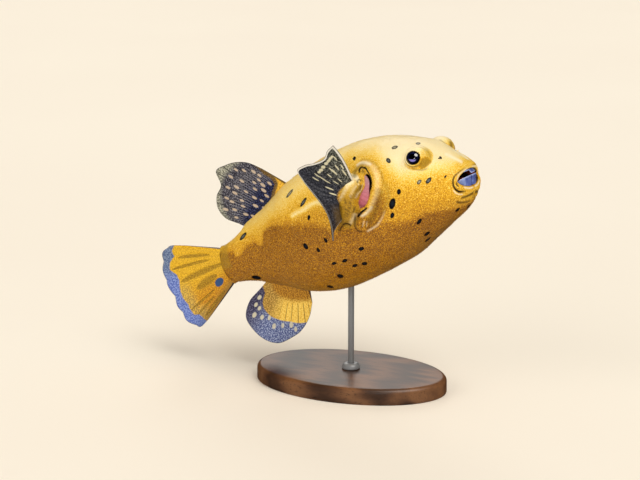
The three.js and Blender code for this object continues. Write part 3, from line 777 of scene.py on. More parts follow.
# %% Tone of the body
GOLD_TONE, LOWER_GOLD, OCHRE_ADDS = 0.36, 0.22, 0.27
BELLY_PALER, STREAK_PALER, STREAK_WIDTH = 0.10, 0.30, 2.8
station, left, height = skin[..., 0], skin[..., 1], skin[..., 2]
ochre_at = np.interp(station, *np.transpose(OCHRE_LINE))
cream_at = np.interp(station, *np.transpose(CREAM_LINE))
softness = np.interp(station, *np.transpose(OCHRE_SOFT))
between = np.clip((cream_at - height) / np.maximum(cream_at - ochre_at, 4), 0, 1)
tone = GOLD_TONE + LOWER_GOLD * between
blend = 1 - ease(station, 60, 90)
pale_share = ease(height - cream_at, -4 - 6 * blend, 12 + 5 * blend)
tone -= np.interp(station, *np.transpose(BACK_PALE)) * pale_share
# Painted light: the lower belly is made paler to offset the shade that falls under it.
tone -= BELLY_PALER * ease(-height, 42, 58) * ease(station, 110, 140) * (1 - ease(station, 200, 225))
tone += OCHRE_ADDS * ease(ochre_at - height, -softness, softness)
streak_at = rail([(s, z) for s, z in HIGHLIGHT_STREAK])(np.linspace(0, 1, 80))
beside = np.full(tone.shape, 99.0)
flank_rows = (ring_t > where["gills"]) & (ring_t < where["dorsal_root"])
gaps = skin[flank_rows][..., None, [0, 2]] - streak_at
beside[flank_rows] = np.linalg.norm(gaps, axis=-1).min(axis=-1)
tone -= STREAK_PALER * bell(beside, 0, STREAK_WIDTH)
tone += 0.03 * (1 - ease(station, 48, 74)) * (1 - ease(height, 18, 30))  # the cheek is a little darker
print("tone of the body runs from", round(float(tone.min()), 2), "to", round(float(tone.max()), 2))

# %% Tone of collars, pads, lobes, turrets and lips
COLLAR_TONE, PAD_TONE, LIP_TONE = 0.38, 0.74, 0.42
TURRET_SHADE = np.array([-0.70, 0.50, -0.52]) / 1.006  # the way to the turret's shaded side
# the way to the turret's front, which is painted olive as shade
TURRET_FRONT = np.array([-0.96, 0.10, 0.20])
# Painted light and shade: the raised collar is made paler, as a lit ridge, and the pad under the slit darker,
# as shaded.
tone += (COLLAR_TONE - tone) * 0.5 * collar_roll
tone += (PAD_TONE - tone) * 0.8 * pad
lobe_tone = np.interp(height, *np.transpose(LOBE_TONES))
tone += (lobe_tone - tone) * 0.9 * on_lobe
olive_shade = 0.75 * on_lobe * (1 - ease(height, 33, 40))
# Painted light and shade on each turret: its cap is paler above, its shaded side darker and olive, and its
# front olive.
for side in SIDES.values():
    depth, centre = egg_depth(skin, TURRET, side)
    on_turret = ease(1.18 - depth, 0, 0.12)
    way = (skin - centre) / np.linalg.norm(skin - centre, axis=-1, keepdims=True)
    lit_cap_tone = 0.06 + 0.30 * ease(-way[..., 2] - 0.4 * way[..., 0], -0.7, 0.4)
    tone += (lit_cap_tone - tone) * on_turret
    shaded = way @ (TURRET_SHADE * [1, side, 1])
    olive_shade = np.maximum(olive_shade, ease(shaded, 0.84, 0.95) * on_turret)
    tone += 0.32 * ease(shaded, 0.82, 0.96) * on_turret
    fore = ease(way @ (TURRET_FRONT * [1, side, 1]), 0.82, 0.97)
    olive_shade = np.maximum(olive_shade, 0.45 * fore * on_turret)
# Painted shade in olive at the tail's root.
olive_shade = np.maximum(olive_shade, 0.7 * ease(station, 281, 287) * ease(height, -7, -2))  # the tail's root
lip = ease(ring_index, 3.0, 3.6) * (1 - ease(ring_index, 4.6, 5.4))
tone += (LIP_TONE - tone) * 0.7 * lip
print("with them it runs from", round(float(tone.min()), 2), "to", round(float(tone.max()), 2))

# %% [markdown]
# ## Spots
#
# The fish carries a few dozen small dark spots along its sides, some of them faded in the middle.
# Noise could scatter them, but the right side's are wanted one by one, so they are a list, and the
# left side takes the same list, shaken. For every point of the skin, the distance to the nearest spot
# is kept, counted so that 1 is the spot's own edge. The finish only has to compare it with 1.

# %% Spots
# Station, height, half length, half width, tilt in degrees, and the kind: 0 black, 1 a thin ring
# round a pale middle, 2 black with a grey middle.
SPOTS = [
    (59.2, 16.0, 2.5, 1.8, 25, 0), (68.5, 7.4, 5.2, 2.8, 35, 0), (72.5, -3.0, 2.8, 1.7, 45, 0),
    (53.3, -16.9, 3.4, 1.6, 60, 0), (56.7, -31.1, 3.1, 2.4, 85, 0), (63.0, -37.5, 3.4, 2.4, 75, 0),
    (22.6, -19.1, 2.6, 2.2, 90, 0), (114.9, -24.0, 2.9, 1.8, 90, 0), (137.4, -30.3, 3.2, 1.7, 75, 0),
    (149.5, -29.6, 2.6, 1.6, 85, 0), (131.6, -38.1, 3.0, 1.8, 70, 0), (121.9, -39.1, 2.6, 2.5, 95, 0),
    (153.6, -43.9, 2.9, 3.2, 95, 0), (175.6, -51.9, 2.8, 3.8, 90, 0), (179.3, 47.5, 5.4, 2.4, 60, 1),
    (160.1, 35.5, 5.3, 2.0, 55, 2), (156.8, 20.0, 2.6, 1.6, 30, 0), (146.1, -5.7, 2.5, 1.7, -5, 0),
    (158.7, -12.5, 2.4, 1.8, -5, 0), (171.6, -5.3, 3.3, 2.5, -25, 0), (258.6, 21.7, 5.6, 2.6, 75, 2),
    (261.4, -22.6, 5.6, 3.6, 80, 0), (98.6, 59.1, 2.4, 1.6, 0, 0), (63.6, 46.8, 3.1, 1.8, -15, 2),
    (59.2, 56.9, 2.9, 2.4, 50, 1), (40.1, 52.8, 2.1, 2.6, 60, 1), (32.1, 48.5, 2.4, 1.8, 15, 1),
    (20.6, 33.4, 1.8, 1.2, 25, 0), (17.0, 15.4, 1.6, 0.8, 50, 0), (39.2, 18.6, 2.6, 1.5, 60, 1),
    (31.2, 16.9, 3.4, 1.8, 60, 2),
]
SPOT_GROWTH = 1.08
SHAKE = [2.4, 2.4, 12]  # how far the left side's spots stray: station, height and tilt
chance = np.random.default_rng(7)
normal = outward(skin)
spots = [np.full(skin.shape[:2], 9.0) for _ in range(3)]
for side in SIDES.values():
    flank = np.where(np.sign(left) == side, 0.0, 1e3)
    for s, z, long, wide, tilt, kind in SPOTS:
        jitter = chance.normal(0, 1, 3) * SHAKE * (side > 0)
        if side > 0 and s < 45 and z > 45:
            continue  # the left eye's turret stays clear
        s, z, tilt = s + jitter[0], z + jitter[1], math.radians(tilt + jitter[2])
        place = np.unravel_index(np.argmin((station - s) ** 2 + (height - z) ** 2 + flank), tone.shape)
        reach = skin - skin[place]
        axis = np.array([-math.sin(tilt), 0.0, math.cos(tilt)])
        axis -= normal[place] * (axis @ normal[place])
        axis /= np.linalg.norm(axis)
        across = np.cross(normal[place], axis)
        far = np.hypot(reach @ axis / long, reach @ across / wide) / SPOT_GROWTH
        far += 9 * (np.abs(reach @ normal[place]) > 4)
        np.minimum(spots[kind], far, out=spots[kind])
print("spots on the right side:", len(SPOTS))

# %% [markdown]
# ## The skin as a mesh
#
# The grid closes to a single point deep in the throat and another at the tail's root. The bare skin
# is then drawn in by the depth of its prickles, which stand on it up to the outer size. Its map could
# be cut into islands, but the skin's own grid unrolls into one: once round the body is across, and
# throat to tail is up.

# %% Build the skin
outside = ease(ring_index, 2.5, 3.5) * (1 - ease(ring_index, 18.5, 19.8))
skin = skin - outward(skin) * (COAT_DEPTH * outside * (socket < 0.05) * (1 - sunk))[..., None]
rows, columns = skin.shape[:2]


def per_point(values):
    """Grid values in the order of the skin's points: throat, rings from front to rear, tail's root."""
    kinds = values.shape[2:]
    return np.concatenate([values[:1, 0], values[1:-1].reshape(-1, *kinds), values[-1:, 0]])


points = per_point(skin)
skin_thing = make_mesh(
    "skin", to_room(points), *closed_grid(rows - 2, columns, (0, len(points) - 1), first=1)
)


def write_map(thing, place_of_point, seamed=False):
    """Writes each point's place on the map to its corners, and splits the map at the closing seam."""
    corners = np.empty(len(thing.data.loops), np.int32)
    thing.data.loops.foreach_get("vertex_index", corners)
    place = place_of_point[corners]
    if seamed:
        sizes = np.empty(len(thing.data.polygons), np.int32)
        thing.data.polygons.foreach_get("loop_total", sizes)
        highest = np.maximum.reduceat(place[:, 0], np.cumsum(sizes) - sizes)
        place[:, 0] += (np.repeat(highest, sizes) > 0.75) & (place[:, 0] < 0.25)
    layer = thing.data.uv_layers.new(name="OFBake")
    layer.data.foreach_set("uv", place.astype(np.float32).ravel())


write_map(skin_thing, per_point(np.stack([grid_angle / (2 * math.pi), grid_t], axis=-1)), seamed=True)
# Painted shadow: the open part of each gill slit, painted near-black.
slit_shadow = sunk * ends * (1 - 0.85 * ease(gill_behind / np.maximum(half, 0.5), 0.2, 0.9))
marks_and_shading = {
    "fish": skin, "tone": tone, "olive_shade": olive_shade, "spot": spots[0], "ring_spot": spots[1],
    "grey_spot": spots[2], "shade_line": shade_line * (1 - sunk),
    "highlight_line": np.clip(highlight_line, 0, 1) * (1 - sunk), "slit": slit_shadow,
    "mouth": 1 - ease(ring_index, 2.7, 3.15),
}
for name, values in marks_and_shading.items():
    note(skin_thing, name, per_point(values))
print("skin:", len(skin_thing.data.vertices), "points,", len(skin_thing.data.polygons), "faces")


# %% [markdown]
# ## Finishes
#
# Every finish is a small web of nodes round one Principled shader. It could be wired by hand in the
# node editor, but a class with short methods keeps the recipes readable: each call adds a node and
# hands back its result. All patterns come from where a point lies on the fish, so they stay in place
# whichever way it is seen.

# %% A maker of finishes
class Finish:
    """A material in the making. Its settings are plain numbers on the shader's own sockets."""

    def __init__(self, name, **settings):
        self.material = bpy.data.materials.new(name)
        self.material.use_nodes = True
        self.tree = self.material.node_tree
        self.shader = self.tree.nodes["Principled BSDF"]
        for key, value in settings.items():
            self.shader.inputs[key.replace("_", " ").title().replace("Ior", "IOR")].default_value = value

    def add(self, kind, inputs=(), output=0, **choices):
        """A new node, fed by numbers, colours or other nodes' results."""
        node = self.tree.nodes.new("ShaderNode" + kind)
        for key, value in choices.items():
            setattr(node, key, value)
        for key, value in dict(inputs).items():
            self.feed(node.inputs[key], value)
        return node.outputs[output]

    def feed(self, socket, value):
        if isinstance(value, bpy.types.NodeSocket):
            self.tree.links.new(value, socket)
        else:
            socket.default_value = value

    def kept(self, name, output="Fac"):
        """What was noted on the mesh under a name."""
        return self.add("Attribute", output=output, attribute_name=name)

    def math(self, operation, a, b=0.0):
        return self.add("Math", {0: a, 1: b}, operation=operation)

    def times(self, a, b):
        return self.math("MULTIPLY", a, b)

    def step(self, value, low, high, kind="SMOOTHSTEP"):
        """0 below low and 1 above high."""
        inputs = {"Value": value, "From Min": low, "From Max": high}
        return self.add("MapRange", inputs, interpolation_type=kind)

    def fall(self, value, low, high):
        """1 below low and 0 above high."""
        return self.math("SUBTRACT", 1.0, self.step(value, low, high))

    def mix(self, share, a, b):
        return self.add("Mix", {0: share, 6: a, 7: b}, output=2, data_type="RGBA")

    def lay(self, under, code, share, strength=1.0):
        """Lays one colour over what is under it."""
        if strength != 1.0:
            share = self.times(share, strength)
        return self.mix(share, under, srgb(code))

    def ramp(self, value, stops):
        result = self.add("ValToRGB", {0: value})
        colours = result.node.color_ramp
        while len(colours.elements) < len(stops):
            colours.elements.new(0.5)
        for element, (place, code) in zip(colours.elements, stops):
            element.position, element.color = place, srgb(code)
        return result

    def noise(self, where_at, scale, detail=2.0, roughness=0.5):
        inputs = {"Vector": where_at, "Scale": scale, "Detail": detail, "Roughness": roughness}
        return self.add("TexNoise", inputs)

    def wander(self, where_at, scale, share=1.0):
        """A soft noise about 0, which makes borders ragged."""
        about = self.math("SUBTRACT", self.noise(where_at, scale), 0.5)
        return about if share == 1.0 else self.times(about, share)

    def bump(self, height, strength, distance, under=None):
        inputs = {"Height": height, "Strength": strength, "Distance": distance}
        if under is not None:
            inputs["Normal"] = under
        return self.add("Bump", inputs)

    def colour(self, value):
        self.feed(self.shader.inputs["Base Color"], value)

    def set(self, socket, value):
        self.feed(self.shader.inputs[socket], value)

    def wear(self, thing):
        """Gives the finish to a piece."""
        thing.data.materials.clear()
        thing.data.materials.append(self.material)


# %% [markdown]
# ### Skin
#
# The tone number is jittered by two noises, one as fine as the prickles and one of soft patches, and
# then turned into colour by a ramp from cream to umber. Two flat colours with a blurred border would
# be simpler, but they would lose the stipple that makes this skin look rough. Spots, the painted shade
# and highlights of the lines and the olive, the slit and the mouth are laid over it; slit and mouth
# are painted near-black as shadow, and the mouth's lining is red only where light still reaches it. A
# thin clear coat gives the moist gloss of living skin.

# %% Finish of the skin
SKIN_TONES = [
    (0.00, "fff1cc"), (0.14, "fce5a2"), (0.28, "f8d365"), (0.41, "edb925"), (0.52, "da9d14"),
    (0.62, "c4860a"), (0.74, "b2770d"), (0.87, "a66b0b"), (1.00, "7a4706"),
]
hide = Finish(
    "golden_skin", Roughness=0.42, Coat_Weight=0.10, Coat_Roughness=0.22, Specular_IOR_Level=0.25
)
fish_at = hide.kept("fish", "Vector")
tone_kept = hide.kept("tone")
stipple = hide.noise(fish_at, 0.92, 2.0, 0.6)
grain = hide.times(hide.math("SUBTRACT", stipple, 0.5), hide.step(tone_kept, -0.1, 0.6))
coarser = hide.math("ADD", 1.15, hide.times(hide.step(tone_kept, 0.52, 0.72), 0.70))
jittered = hide.math("ADD", tone_kept, hide.times(grain, coarser))
jittered = hide.math("ADD", jittered, hide.wander(fish_at, 0.045, 0.10))
gold = hide.ramp(jittered, SKIN_TONES)
# Painted shade in olive and painted highlight in cream.
gold = hide.lay(gold, "ae8a20", hide.kept("olive_shade"), 0.75)
gold = hide.lay(gold, "fff3cf", hide.kept("highlight_line"), 0.85)
gold = hide.lay(gold, "ffeeb4", hide.kept("tip"), 0.30)
# Painted shadow of the lines, dark brown and, where strongest, black.
gold = hide.lay(gold, "38220a", hide.math("MINIMUM", hide.kept("shade_line"), 1.0), 0.90)
gold = hide.lay(gold, "0a0604", hide.step(hide.kept("shade_line"), 1.1, 1.7))

# %% Finish of the spots, the slit and the mouth
# Kind of spot, colour of its edge, colour of its middle, and where the middle fades into the edge.
# The black spots' lighter blue-grey middle is a painted highlight.
SPOT_COLOURS = [
    ("spot", "08080f", "1e2836", 0.20, 0.75), ("ring_spot", "4a463a", "b9b294", 0.35, 0.75),
    ("grey_spot", "14161c", "737b79", 0.20, 0.80),
]
ragged = hide.wander(fish_at, 1.3, 0.40)
for kind, edge_colour, middle_colour, full_at, gone_at in SPOT_COLOURS:
    far = hide.math("ADD", hide.kept(kind), ragged)
    gold = hide.lay(gold, edge_colour, hide.fall(far, 0.88, 1.10))
    gold = hide.lay(gold, middle_colour, hide.fall(far, full_at, gone_at), 0.75)
# Painted shadow: the inside of each gill slit is near-black.
gold = hide.lay(gold, "0c0604", hide.step(hide.kept("slit"), 0.2, 0.6))
# Painted shadow in the mouth: its red lining is painted near-black at the lips, in the middle and deep
# inside.
parted = hide.add("SeparateXYZ", {0: fish_at}).node.outputs
deep = hide.step(parted["X"], 15.5, 18.5)
at_lips = hide.fall(parted["X"], 10.5, 12.5)
in_middle = hide.fall(hide.math("ABSOLUTE", parted["Y"]), 9.0, 13.0)
dim = hide.math("MAXIMUM", at_lips, hide.math("MAXIMUM", in_middle, deep))
gold = hide.mix(hide.kept("mouth"), gold, hide.lay(srgb("a8452f"), "0b0608", dim))
hide.colour(gold)
pebbles = hide.add("TexVoronoi", {"Vector": fish_at, "Scale": 0.75}, output="Distance", feature="F1")
hide.set("Normal", hide.bump(pebbles, 0.35, 0.0006, hide.bump(stipple, 0.25, 0.0005)))
hide.wear(skin_thing)
print("skin's finish:", len(hide.tree.nodes), "nodes")

# %% [markdown]
# ### Prickles
#
# Instead of scales a puffer has thousands of tiny prickles that lie back along the body. A bump in
# the finish could hint at them, but it would leave the outline smooth, so they are real mesh. Each is
# a small three-sided spike. Its root is scattered over the skin's grid by area, at most one in each
# small cube of space, and it keeps the markings and the painted light and shade of the skin under it.
# There are none on the lips, in the eyes' rims, in the gill slits and deep creases or on the tail's
# root, and they are shortest on the face. On the map, each spike is a small patch at its root's place.

# %% Prickles
PRICKLE_GAP = 1.35
PRICKLE_LENGTH = 0.95
PRICKLE_HALF_WIDTH = 0.26
PRICKLE_LEAN = math.radians(48)
PRICKLE_SINK = 0.08  # how far its foot goes into the skin
PRICKLE_TRIES = 160000
MAP_PATCH = 0.0015
chance = np.random.default_rng(23)
normal = outward(skin)
corner_a, corner_b = skin[:-1], np.roll(skin, -1, 1)[:-1]
corner_c, corner_d = np.roll(skin, -1, 1)[1:], skin[1:]
cell_area = np.linalg.norm(np.cross(corner_c - corner_a, corner_d - corner_b), axis=-1) / 2
bare = (ring_index < 5.1) | (ring_index > 18.6) | (socket > 0.05) | (sunk > 0.01) | (shade_line > 0.6)
cell_area = np.where(bare[:-1] | bare[1:], 0, cell_area)
picked = chance.choice(cell_area.size, PRICKLE_TRIES, p=(cell_area / cell_area.sum()).ravel())
cell_row, cell_column = np.unravel_index(picked, cell_area.shape)
share_down, share_across = chance.random((2, len(picked)))


def on_skin(values):
    """Grid values between the corners of the picked cells."""
    after = (cell_column + 1) % columns
    extra = (slice(None),) + (None,) * (values.ndim - 2)
    down, over = share_down[extra], share_across[extra]
    near = values[cell_row, cell_column] * (1 - over) + values[cell_row, after] * over
    far = values[cell_row + 1, cell_column] * (1 - over) + values[cell_row + 1, after] * over
    return near * (1 - down) + far * down


cubes = np.floor(on_skin(skin) / PRICKLE_GAP).astype(int)
_, kept = np.unique(cubes, axis=0, return_index=True)
kept.sort()
cell_row, cell_column = cell_row[kept], cell_column[kept]
share_down, share_across = share_down[kept], share_across[kept]
roots, outs = on_skin(skin), on_skin(normal)
outs /= np.linalg.norm(outs, axis=1, keepdims=True)
backs = np.array([1.0, 0.0, 0.0]) - outs * outs[:, :1]
backs /= np.maximum(np.linalg.norm(backs, axis=1, keepdims=True), 0.2)
sides = np.cross(outs, backs)
size = (0.55 + 0.45 * ease(roots[:, 0], 15, 60)) * chance.uniform(0.75, 1.2, len(roots))
tips = np.sin(PRICKLE_LEAN) * backs + np.cos(PRICKLE_LEAN) * outs
tips = roots + tips * (PRICKLE_LENGTH * size)[:, None]
feet = []
for turn in (0, 2 * math.pi / 3, 4 * math.pi / 3):
    way = math.cos(turn) * backs + math.sin(turn) * sides
    feet.append(roots + way * (PRICKLE_HALF_WIDTH * size)[:, None] - PRICKLE_SINK * outs)
spikes = np.stack(feet + [tips], axis=1)
turn_at = np.append(ring_angle, 2 * math.pi)
map_u = np.interp(cell_column + share_across, np.arange(columns + 1), turn_at) / (2 * math.pi)
map_v = on_skin(grid_t)
patch = MAP_PATCH * np.array([[1.0, 0.0], [-0.5, 0.87], [-0.5, -0.87], [0.0, 0.0]])
spike_map = np.stack([map_u, map_v], axis=-1)[:, None] + patch
SPIKE_FACES = np.array([[0, 2, 1], [0, 1, 3], [1, 2, 3], [2, 0, 3]])  # three feet and a tip
for label, side in SIDES.items():
    chosen = np.flatnonzero(np.sign(roots[:, 1]) == side)
    triangles = (4 * np.arange(len(chosen))[:, None, None] + SPIKE_FACES).reshape(-1, 3)
    prickles = make_mesh(f"prickles_{label}", to_room(spikes[chosen].reshape(-1, 3)), (), triangles)
    for name, values in marks_and_shading.items():
        note(prickles, name, np.repeat(on_skin(values)[chosen], 4, axis=0))
    note(prickles, "tip", np.tile([0.0, 0.0, 0.0, 1.0], len(chosen)))
    write_map(prickles, spike_map[chosen].reshape(-1, 2))
    hide.wear(prickles)
    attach(prickles, "root")
    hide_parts("head", "trunk", "tail_stem")
    print(label, "side:", len(chosen), "prickles")

# %% Place the skin
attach(skin_thing, "root")
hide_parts("head", "trunk", "tail_stem", "pectoral_base_left", "pectoral_base_right")


# %% [markdown]
# ## Fins
#
# A fin is a fan of soft rays with a web between them. It could be a flat cut-out with a painted edge,
# but from ahead or above that would look like card. So each one is ruled from a root line inside the
# body to a curved margin, and thickens to a ridge along every ray. The two faces share their points
# along the margin, so that a fin is one closed blade that thins out to a soft edge.

# %% Fin maker
LEAD_FADE = 3  # how fast the bow of the leading ray dies out behind it
RIDGE_RISE = 0.20
EDGE_ROUND = 1.6  # over how many millimetres the blade thins out to its edge
LEAST_HALF = 0.3


def fin(
    name, root, margin, belly=(0, 0, 0), lead=(0, 0, 0), thick=7.0, thin=0.9, scallops=0, scallop=0.0,
    rays=10, waves=0.0, grid=(220, 80),
):
    """A fin's mesh, and what its markings need: t from the first ray to the last, u from root to
    margin, the middle surface, and a way to spread a value over both faces."""
    root_at, margin_at = rail(root), rail(margin)
    bow, lead_bow = np.array(belly, float), np.array(lead, float)
    t, u = np.meshgrid(np.linspace(0, 1, grid[0]), np.linspace(0, 1, grid[1]), indexing="ij")

    def middle(t, u):
        start, tip = root_at(t), margin_at(t)
        length = np.linalg.norm(tip - start, axis=-1)
        lobes = scallop * (np.abs(np.sin(math.pi * scallops * t)) - 1)
        reach = u * (1 + lobes * u / length)
        swell = np.sin(math.pi * u)
        early = swell * (1 - t) ** LEAD_FADE
        return start + (tip - start) * reach[..., None] + bow * swell[..., None] + lead_bow * early[..., None]

    sheet = middle(t, u)
    across = np.cross(np.gradient(sheet, axis=0), np.gradient(sheet, axis=1))
    across /= np.linalg.norm(across, axis=-1, keepdims=True)
    sheet = sheet + across * (waves * u * np.cos(2 * math.pi * rays * t))[..., None]
    length = np.linalg.norm(margin_at(t) - root_at(t), axis=-1)
    side_steps = np.linalg.norm(np.gradient(sheet, axis=0), axis=-1) * (grid[0] - 1)
    to_margin = length * (1 - u)
    to_side = np.minimum(t, 1 - t) * side_steps
    edge = np.minimum(to_margin, to_side)
    split = ease(u, 0.45, 0.75)
    ridge = (1 - split) * np.cos(2 * math.pi * rays * t) + split * np.cos(4 * math.pi * rays * t)
    half = (thick + (thin - thick) * u**0.7) / 2
    half += RIDGE_RISE * ridge * ease(u, 0.05, 0.3) * (1 - ease(u, 0.8, 1.0))
    rounding = np.sqrt(np.clip(1 - (1 - np.clip(edge / EDGE_ROUND, 0, 1)) ** 2, 0, 1))
    half = np.maximum(half, LEAST_HALF) * rounding
    faces_out, faces_in = sheet + across * half[..., None], sheet - across * half[..., None]
    shared = (t == 0) | (t == 1) | (u == 1)
    first = np.arange(t.size).reshape(t.shape)
    second = np.where(shared, first, 0)
    second[~shared] = t.size + np.arange((~shared).sum())
    points = np.concatenate([faces_out.reshape(-1, 3), faces_in[~shared]])
    out_squares = grid_squares(*grid)
    in_squares = second.ravel()[out_squares][:, ::-1]
    foot = np.stack([first[:-1, 0], first[1:, 0], second[1:, 0], second[:-1, 0]], axis=-1)
    squares = np.concatenate([out_squares, in_squares, foot[1:-1]])
    made = make_mesh(name, to_room(points), squares, [foot[0, :3], foot[-1, [0, 1, 3]]])

    def both(values):
        kinds = values.shape[2:]
        return np.concatenate([values.reshape(-1, *kinds), values[~shared]])

    for word, values in (("fish", sheet), ("ray", t), ("reach", u), ("edge", edge)):
        note(made, word, both(values))
    print(name.replace("_", " ") + ":", len(made.data.polygons), "faces")
    return made, {"t": t, "u": u, "sheet": sheet, "middle": middle, "both": both}


def dashes(surface, marks, long, wide):
    """Distance to the nearest oval mark, where 1 is a mark's edge. A mark is (ray, reach, size)."""
    nearest = np.full(surface["t"].shape, 9.0)
    for t, u, size in marks:
        here = surface["middle"](np.array(t), np.array(u))
        along = surface["middle"](np.array(t), np.array(u + 0.01)) - here
        along /= np.linalg.norm(along)
        reach = surface["sheet"] - here
        ahead = reach @ along
        aside = np.linalg.norm(reach - ahead[..., None] * along, axis=-1)
        np.minimum(nearest, np.hypot(ahead / (long * size), aside / (wide * size)), out=nearest)
    return nearest


def beyond(surface, pivot, line):
    """How far points of a fin lie outside a curve, both seen from a pivot, in millimetres."""
    def polar(points):
        reach = np.asarray(points, float) - pivot
        return np.arctan2(reach[..., 1], reach[..., 0]), np.hypot(reach[..., 0], reach[..., 1])

    angles, radii = polar(line)
    angles = np.unwrap(angles)
    order = np.argsort(angles)
    turn, far = polar(surface["sheet"][..., [0, 2]])
    centre = (angles.min() + angles.max()) / 2
    turn = centre + (turn - centre + math.pi) % (2 * math.pi) - math.pi
    return far - np.interp(turn, angles[order], radii[order])


# %% [markdown]
# ### Dorsal fin
#
# The dorsal fin sits far back, a rounded navy fan with rows of cream ovals along its rays and a
# fleshy gold strip up its front edge. The ovals could be cut out or laid on as discs, but they are
# colour in the skin, so the mesh only notes how far each point is from the nearest one.

# %% Dorsal fin
chance = np.random.default_rng(11)
dorsal, dorsal_at = fin(
    "dorsal_fin_blade",
    root=[(196, 0, 54), (222, 0, 39), (258, 0, 27)],
    margin=[
        (221, 0, 79.5), (233, 0, 89), (246, 0, 93.7), (259, 0, 94.5), (272, 0, 92), (272, 0, 77),
        (281, 0, 68), (284.5, 0, 56), (279.5, 0, 43.5), (266, 0, 34),
    ],
    rays=11,
)
# Ovals as (ray, reach): 0 to 1 from front to rear, and 0 to 1 from root to margin.
DORSAL_OVALS = [
    (0.173, 0.57), (0.18, 0.32), (0.183, 0.69), (0.24, 0.48), (0.253, 0.77), (0.27, 0.36), (0.307, 0.84),
    (0.313, 0.48), (0.333, 0.28), (0.38, 0.18), (0.387, 0.38), (0.387, 0.61), (0.413, 0.77), (0.483, 0.48),
    (0.487, 0.2), (0.49, 0.65), (0.5, 0.33), (0.543, 0.85), (0.563, 0.71), (0.57, 0.1), (0.597, 0.26),
    (0.607, 0.53), (0.647, 0.8), (0.663, 0.68), (0.667, 0.45), (0.74, 0.59), (0.75, 0.17), (0.757, 0.33),
    (0.767, 0.8), (0.837, 0.56),
]
dorsal_marks = [(ray, reach, chance.uniform(0.85, 1.15)) for ray, reach in DORSAL_OVALS]
dorsal_strip = [(227, 84), (220, 73), (213, 66), (211.5, 60), (217, 54), (221, 48), (226, 43)]
note(dorsal, "dash", dorsal_at["both"](dashes(dorsal_at, dorsal_marks, 2.9, 1.3)))
note(dorsal, "flesh", dorsal_at["both"](beyond(dorsal_at, (255, 62), dorsal_strip)))
note(dorsal, "pale_corner", dorsal_at["both"](
    beyond(dorsal_at, (235, 55), [(243, 92), (255, 88), (264, 84), (272, 76)])))
print("ovals on the dorsal fin:", len(dorsal_marks))

# %% [markdown]
# ### Anal fin
#
# Under the tail the anal fin mirrors the dorsal in shape, so the same maker builds it. It is gold at
# its root, crossed by fine dark ray lines, and blue outside, with cream marks along the border. The
# borders between the colours are curves across the fin, and each point notes how far outside them it
# lies.

# %% Anal fin
anal, anal_at = fin(
    "anal_fin_blade",
    root=[(214, 0, -46), (234, 0, -36), (254, 0, -27)],
    margin=[
        (217, 0, -64), (226, 0, -77), (240, 0, -87.5), (256, 0, -92), (270, 0, -93),
        (283, 0, -86.5), (292.5, 0, -74), (296.5, 0, -58), (286, 0, -43.5), (271, 0, -36),
    ],
    rays=11,
)
ANAL_OVALS = [
    (0.81, 0.54), (0.78, 0.67), (0.727, 0.64), (0.73, 0.8), (0.663, 0.72), (0.597, 0.65), (0.523, 0.74),
    (0.433, 0.71), (0.327, 0.75), (0.277, 0.88),
]
anal_marks = [(ray, reach, chance.uniform(0.85, 1.15)) for ray, reach in ANAL_OVALS]
anal_blue_line = [(231, -81), (249, -75), (260, -70), (268, -64), (272, -55), (271, -49), (264, -40)]
anal_gold_line = [(217, -63), (224, -61.5), (233, -59.5), (243, -55.5), (251, -49.5), (255, -41)]
note(anal, "dash", anal_at["both"](dashes(anal_at, anal_marks, 3.0, 1.9)))
note(anal, "blue", anal_at["both"](beyond(anal_at, (234, -36), anal_blue_line)))
note(anal, "gold", anal_at["both"](beyond(anal_at, (234, -36), anal_gold_line)))
print("marks on the anal fin:", len(anal_marks))

# %% [markdown]
# ### Tail fin
#
# The tail is a broad golden fan with a scalloped blue hem. Its web is gathered into soft pleats,
# whose shade is painted as olive strokes. Deep folds in the mesh would catch too much light at this
# size, so the web only waves a little along its rays, and the pleats are strokes of painted shade
# that the finish colours and sinks.

# %% Tail fin
tail, tail_at = fin(
    "caudal_fin_blade",
    root=[(288, 0, 13.5), (290, 0, -0.7), (288, 0, -16.5)],
    margin=[
        (340, 0, 32), (356, 0, 35.5), (366.5, 0, 30.5), (372.5, 0, 16), (374.5, 0, 1),
        (371.5, 0, -14), (370.5, 0, -28), (366, 0, -43), (355, 0, -53.5), (342, 0, -50),
    ],
    thick=9, thin=1.0, scallops=7, scallop=2.2, rays=9, waves=0.25, grid=(260, 110),
)
# Ray at the stroke's inner and outer end, where it starts and ends along the ray, and its half width.
PLEATS = [
    (0.217, 0.262, 0.28, 0.76, 2.3), (0.307, 0.357, 0.29, 0.86, 2.0), (0.433, 0.483, 0.12, 0.78, 3.6),
    (0.600, 0.615, 0.26, 0.62, 5.0), (0.760, 0.743, 0.38, 0.85, 1.5), (0.817, 0.815, 0.46, 0.84, 1.5),
    (0.900, 0.880, 0.30, 0.80, 2.4),
]
pleat = np.zeros(tail_at["t"].shape)
breadth = np.linalg.norm(np.gradient(tail_at["sheet"], axis=0), axis=-1) * (len(pleat) - 1)
for inner_ray, outer_ray, start, end, wide in PLEATS:
    run = (tail_at["u"] - start) / (end - start)
    ray = inner_ray + (outer_ray - inner_ray) * run
    gap = np.abs(tail_at["t"] - ray) * breadth
    taper = wide * np.sqrt(np.clip(4 * run * (1 - run), 0, 1)) + 0.01
    pleat = np.maximum(pleat, np.where((run > 0) & (run < 1), 1 - ease(gap / taper, 0.45, 1.15), 0))
tail_blue_line = [
    (340, 37), (349, 34.5), (354, 30), (353, 24), (361, 19), (364, 12), (358, 5), (357, -1),
    (360, -9), (360.5, -20), (357, -27), (357, -33), (354, -40), (348, -41), (342, -50),
]
note(tail, "pleat", tail_at["both"](pleat))
note(tail, "blue", tail_at["both"](beyond(tail_at, (296, -2), tail_blue_line)))
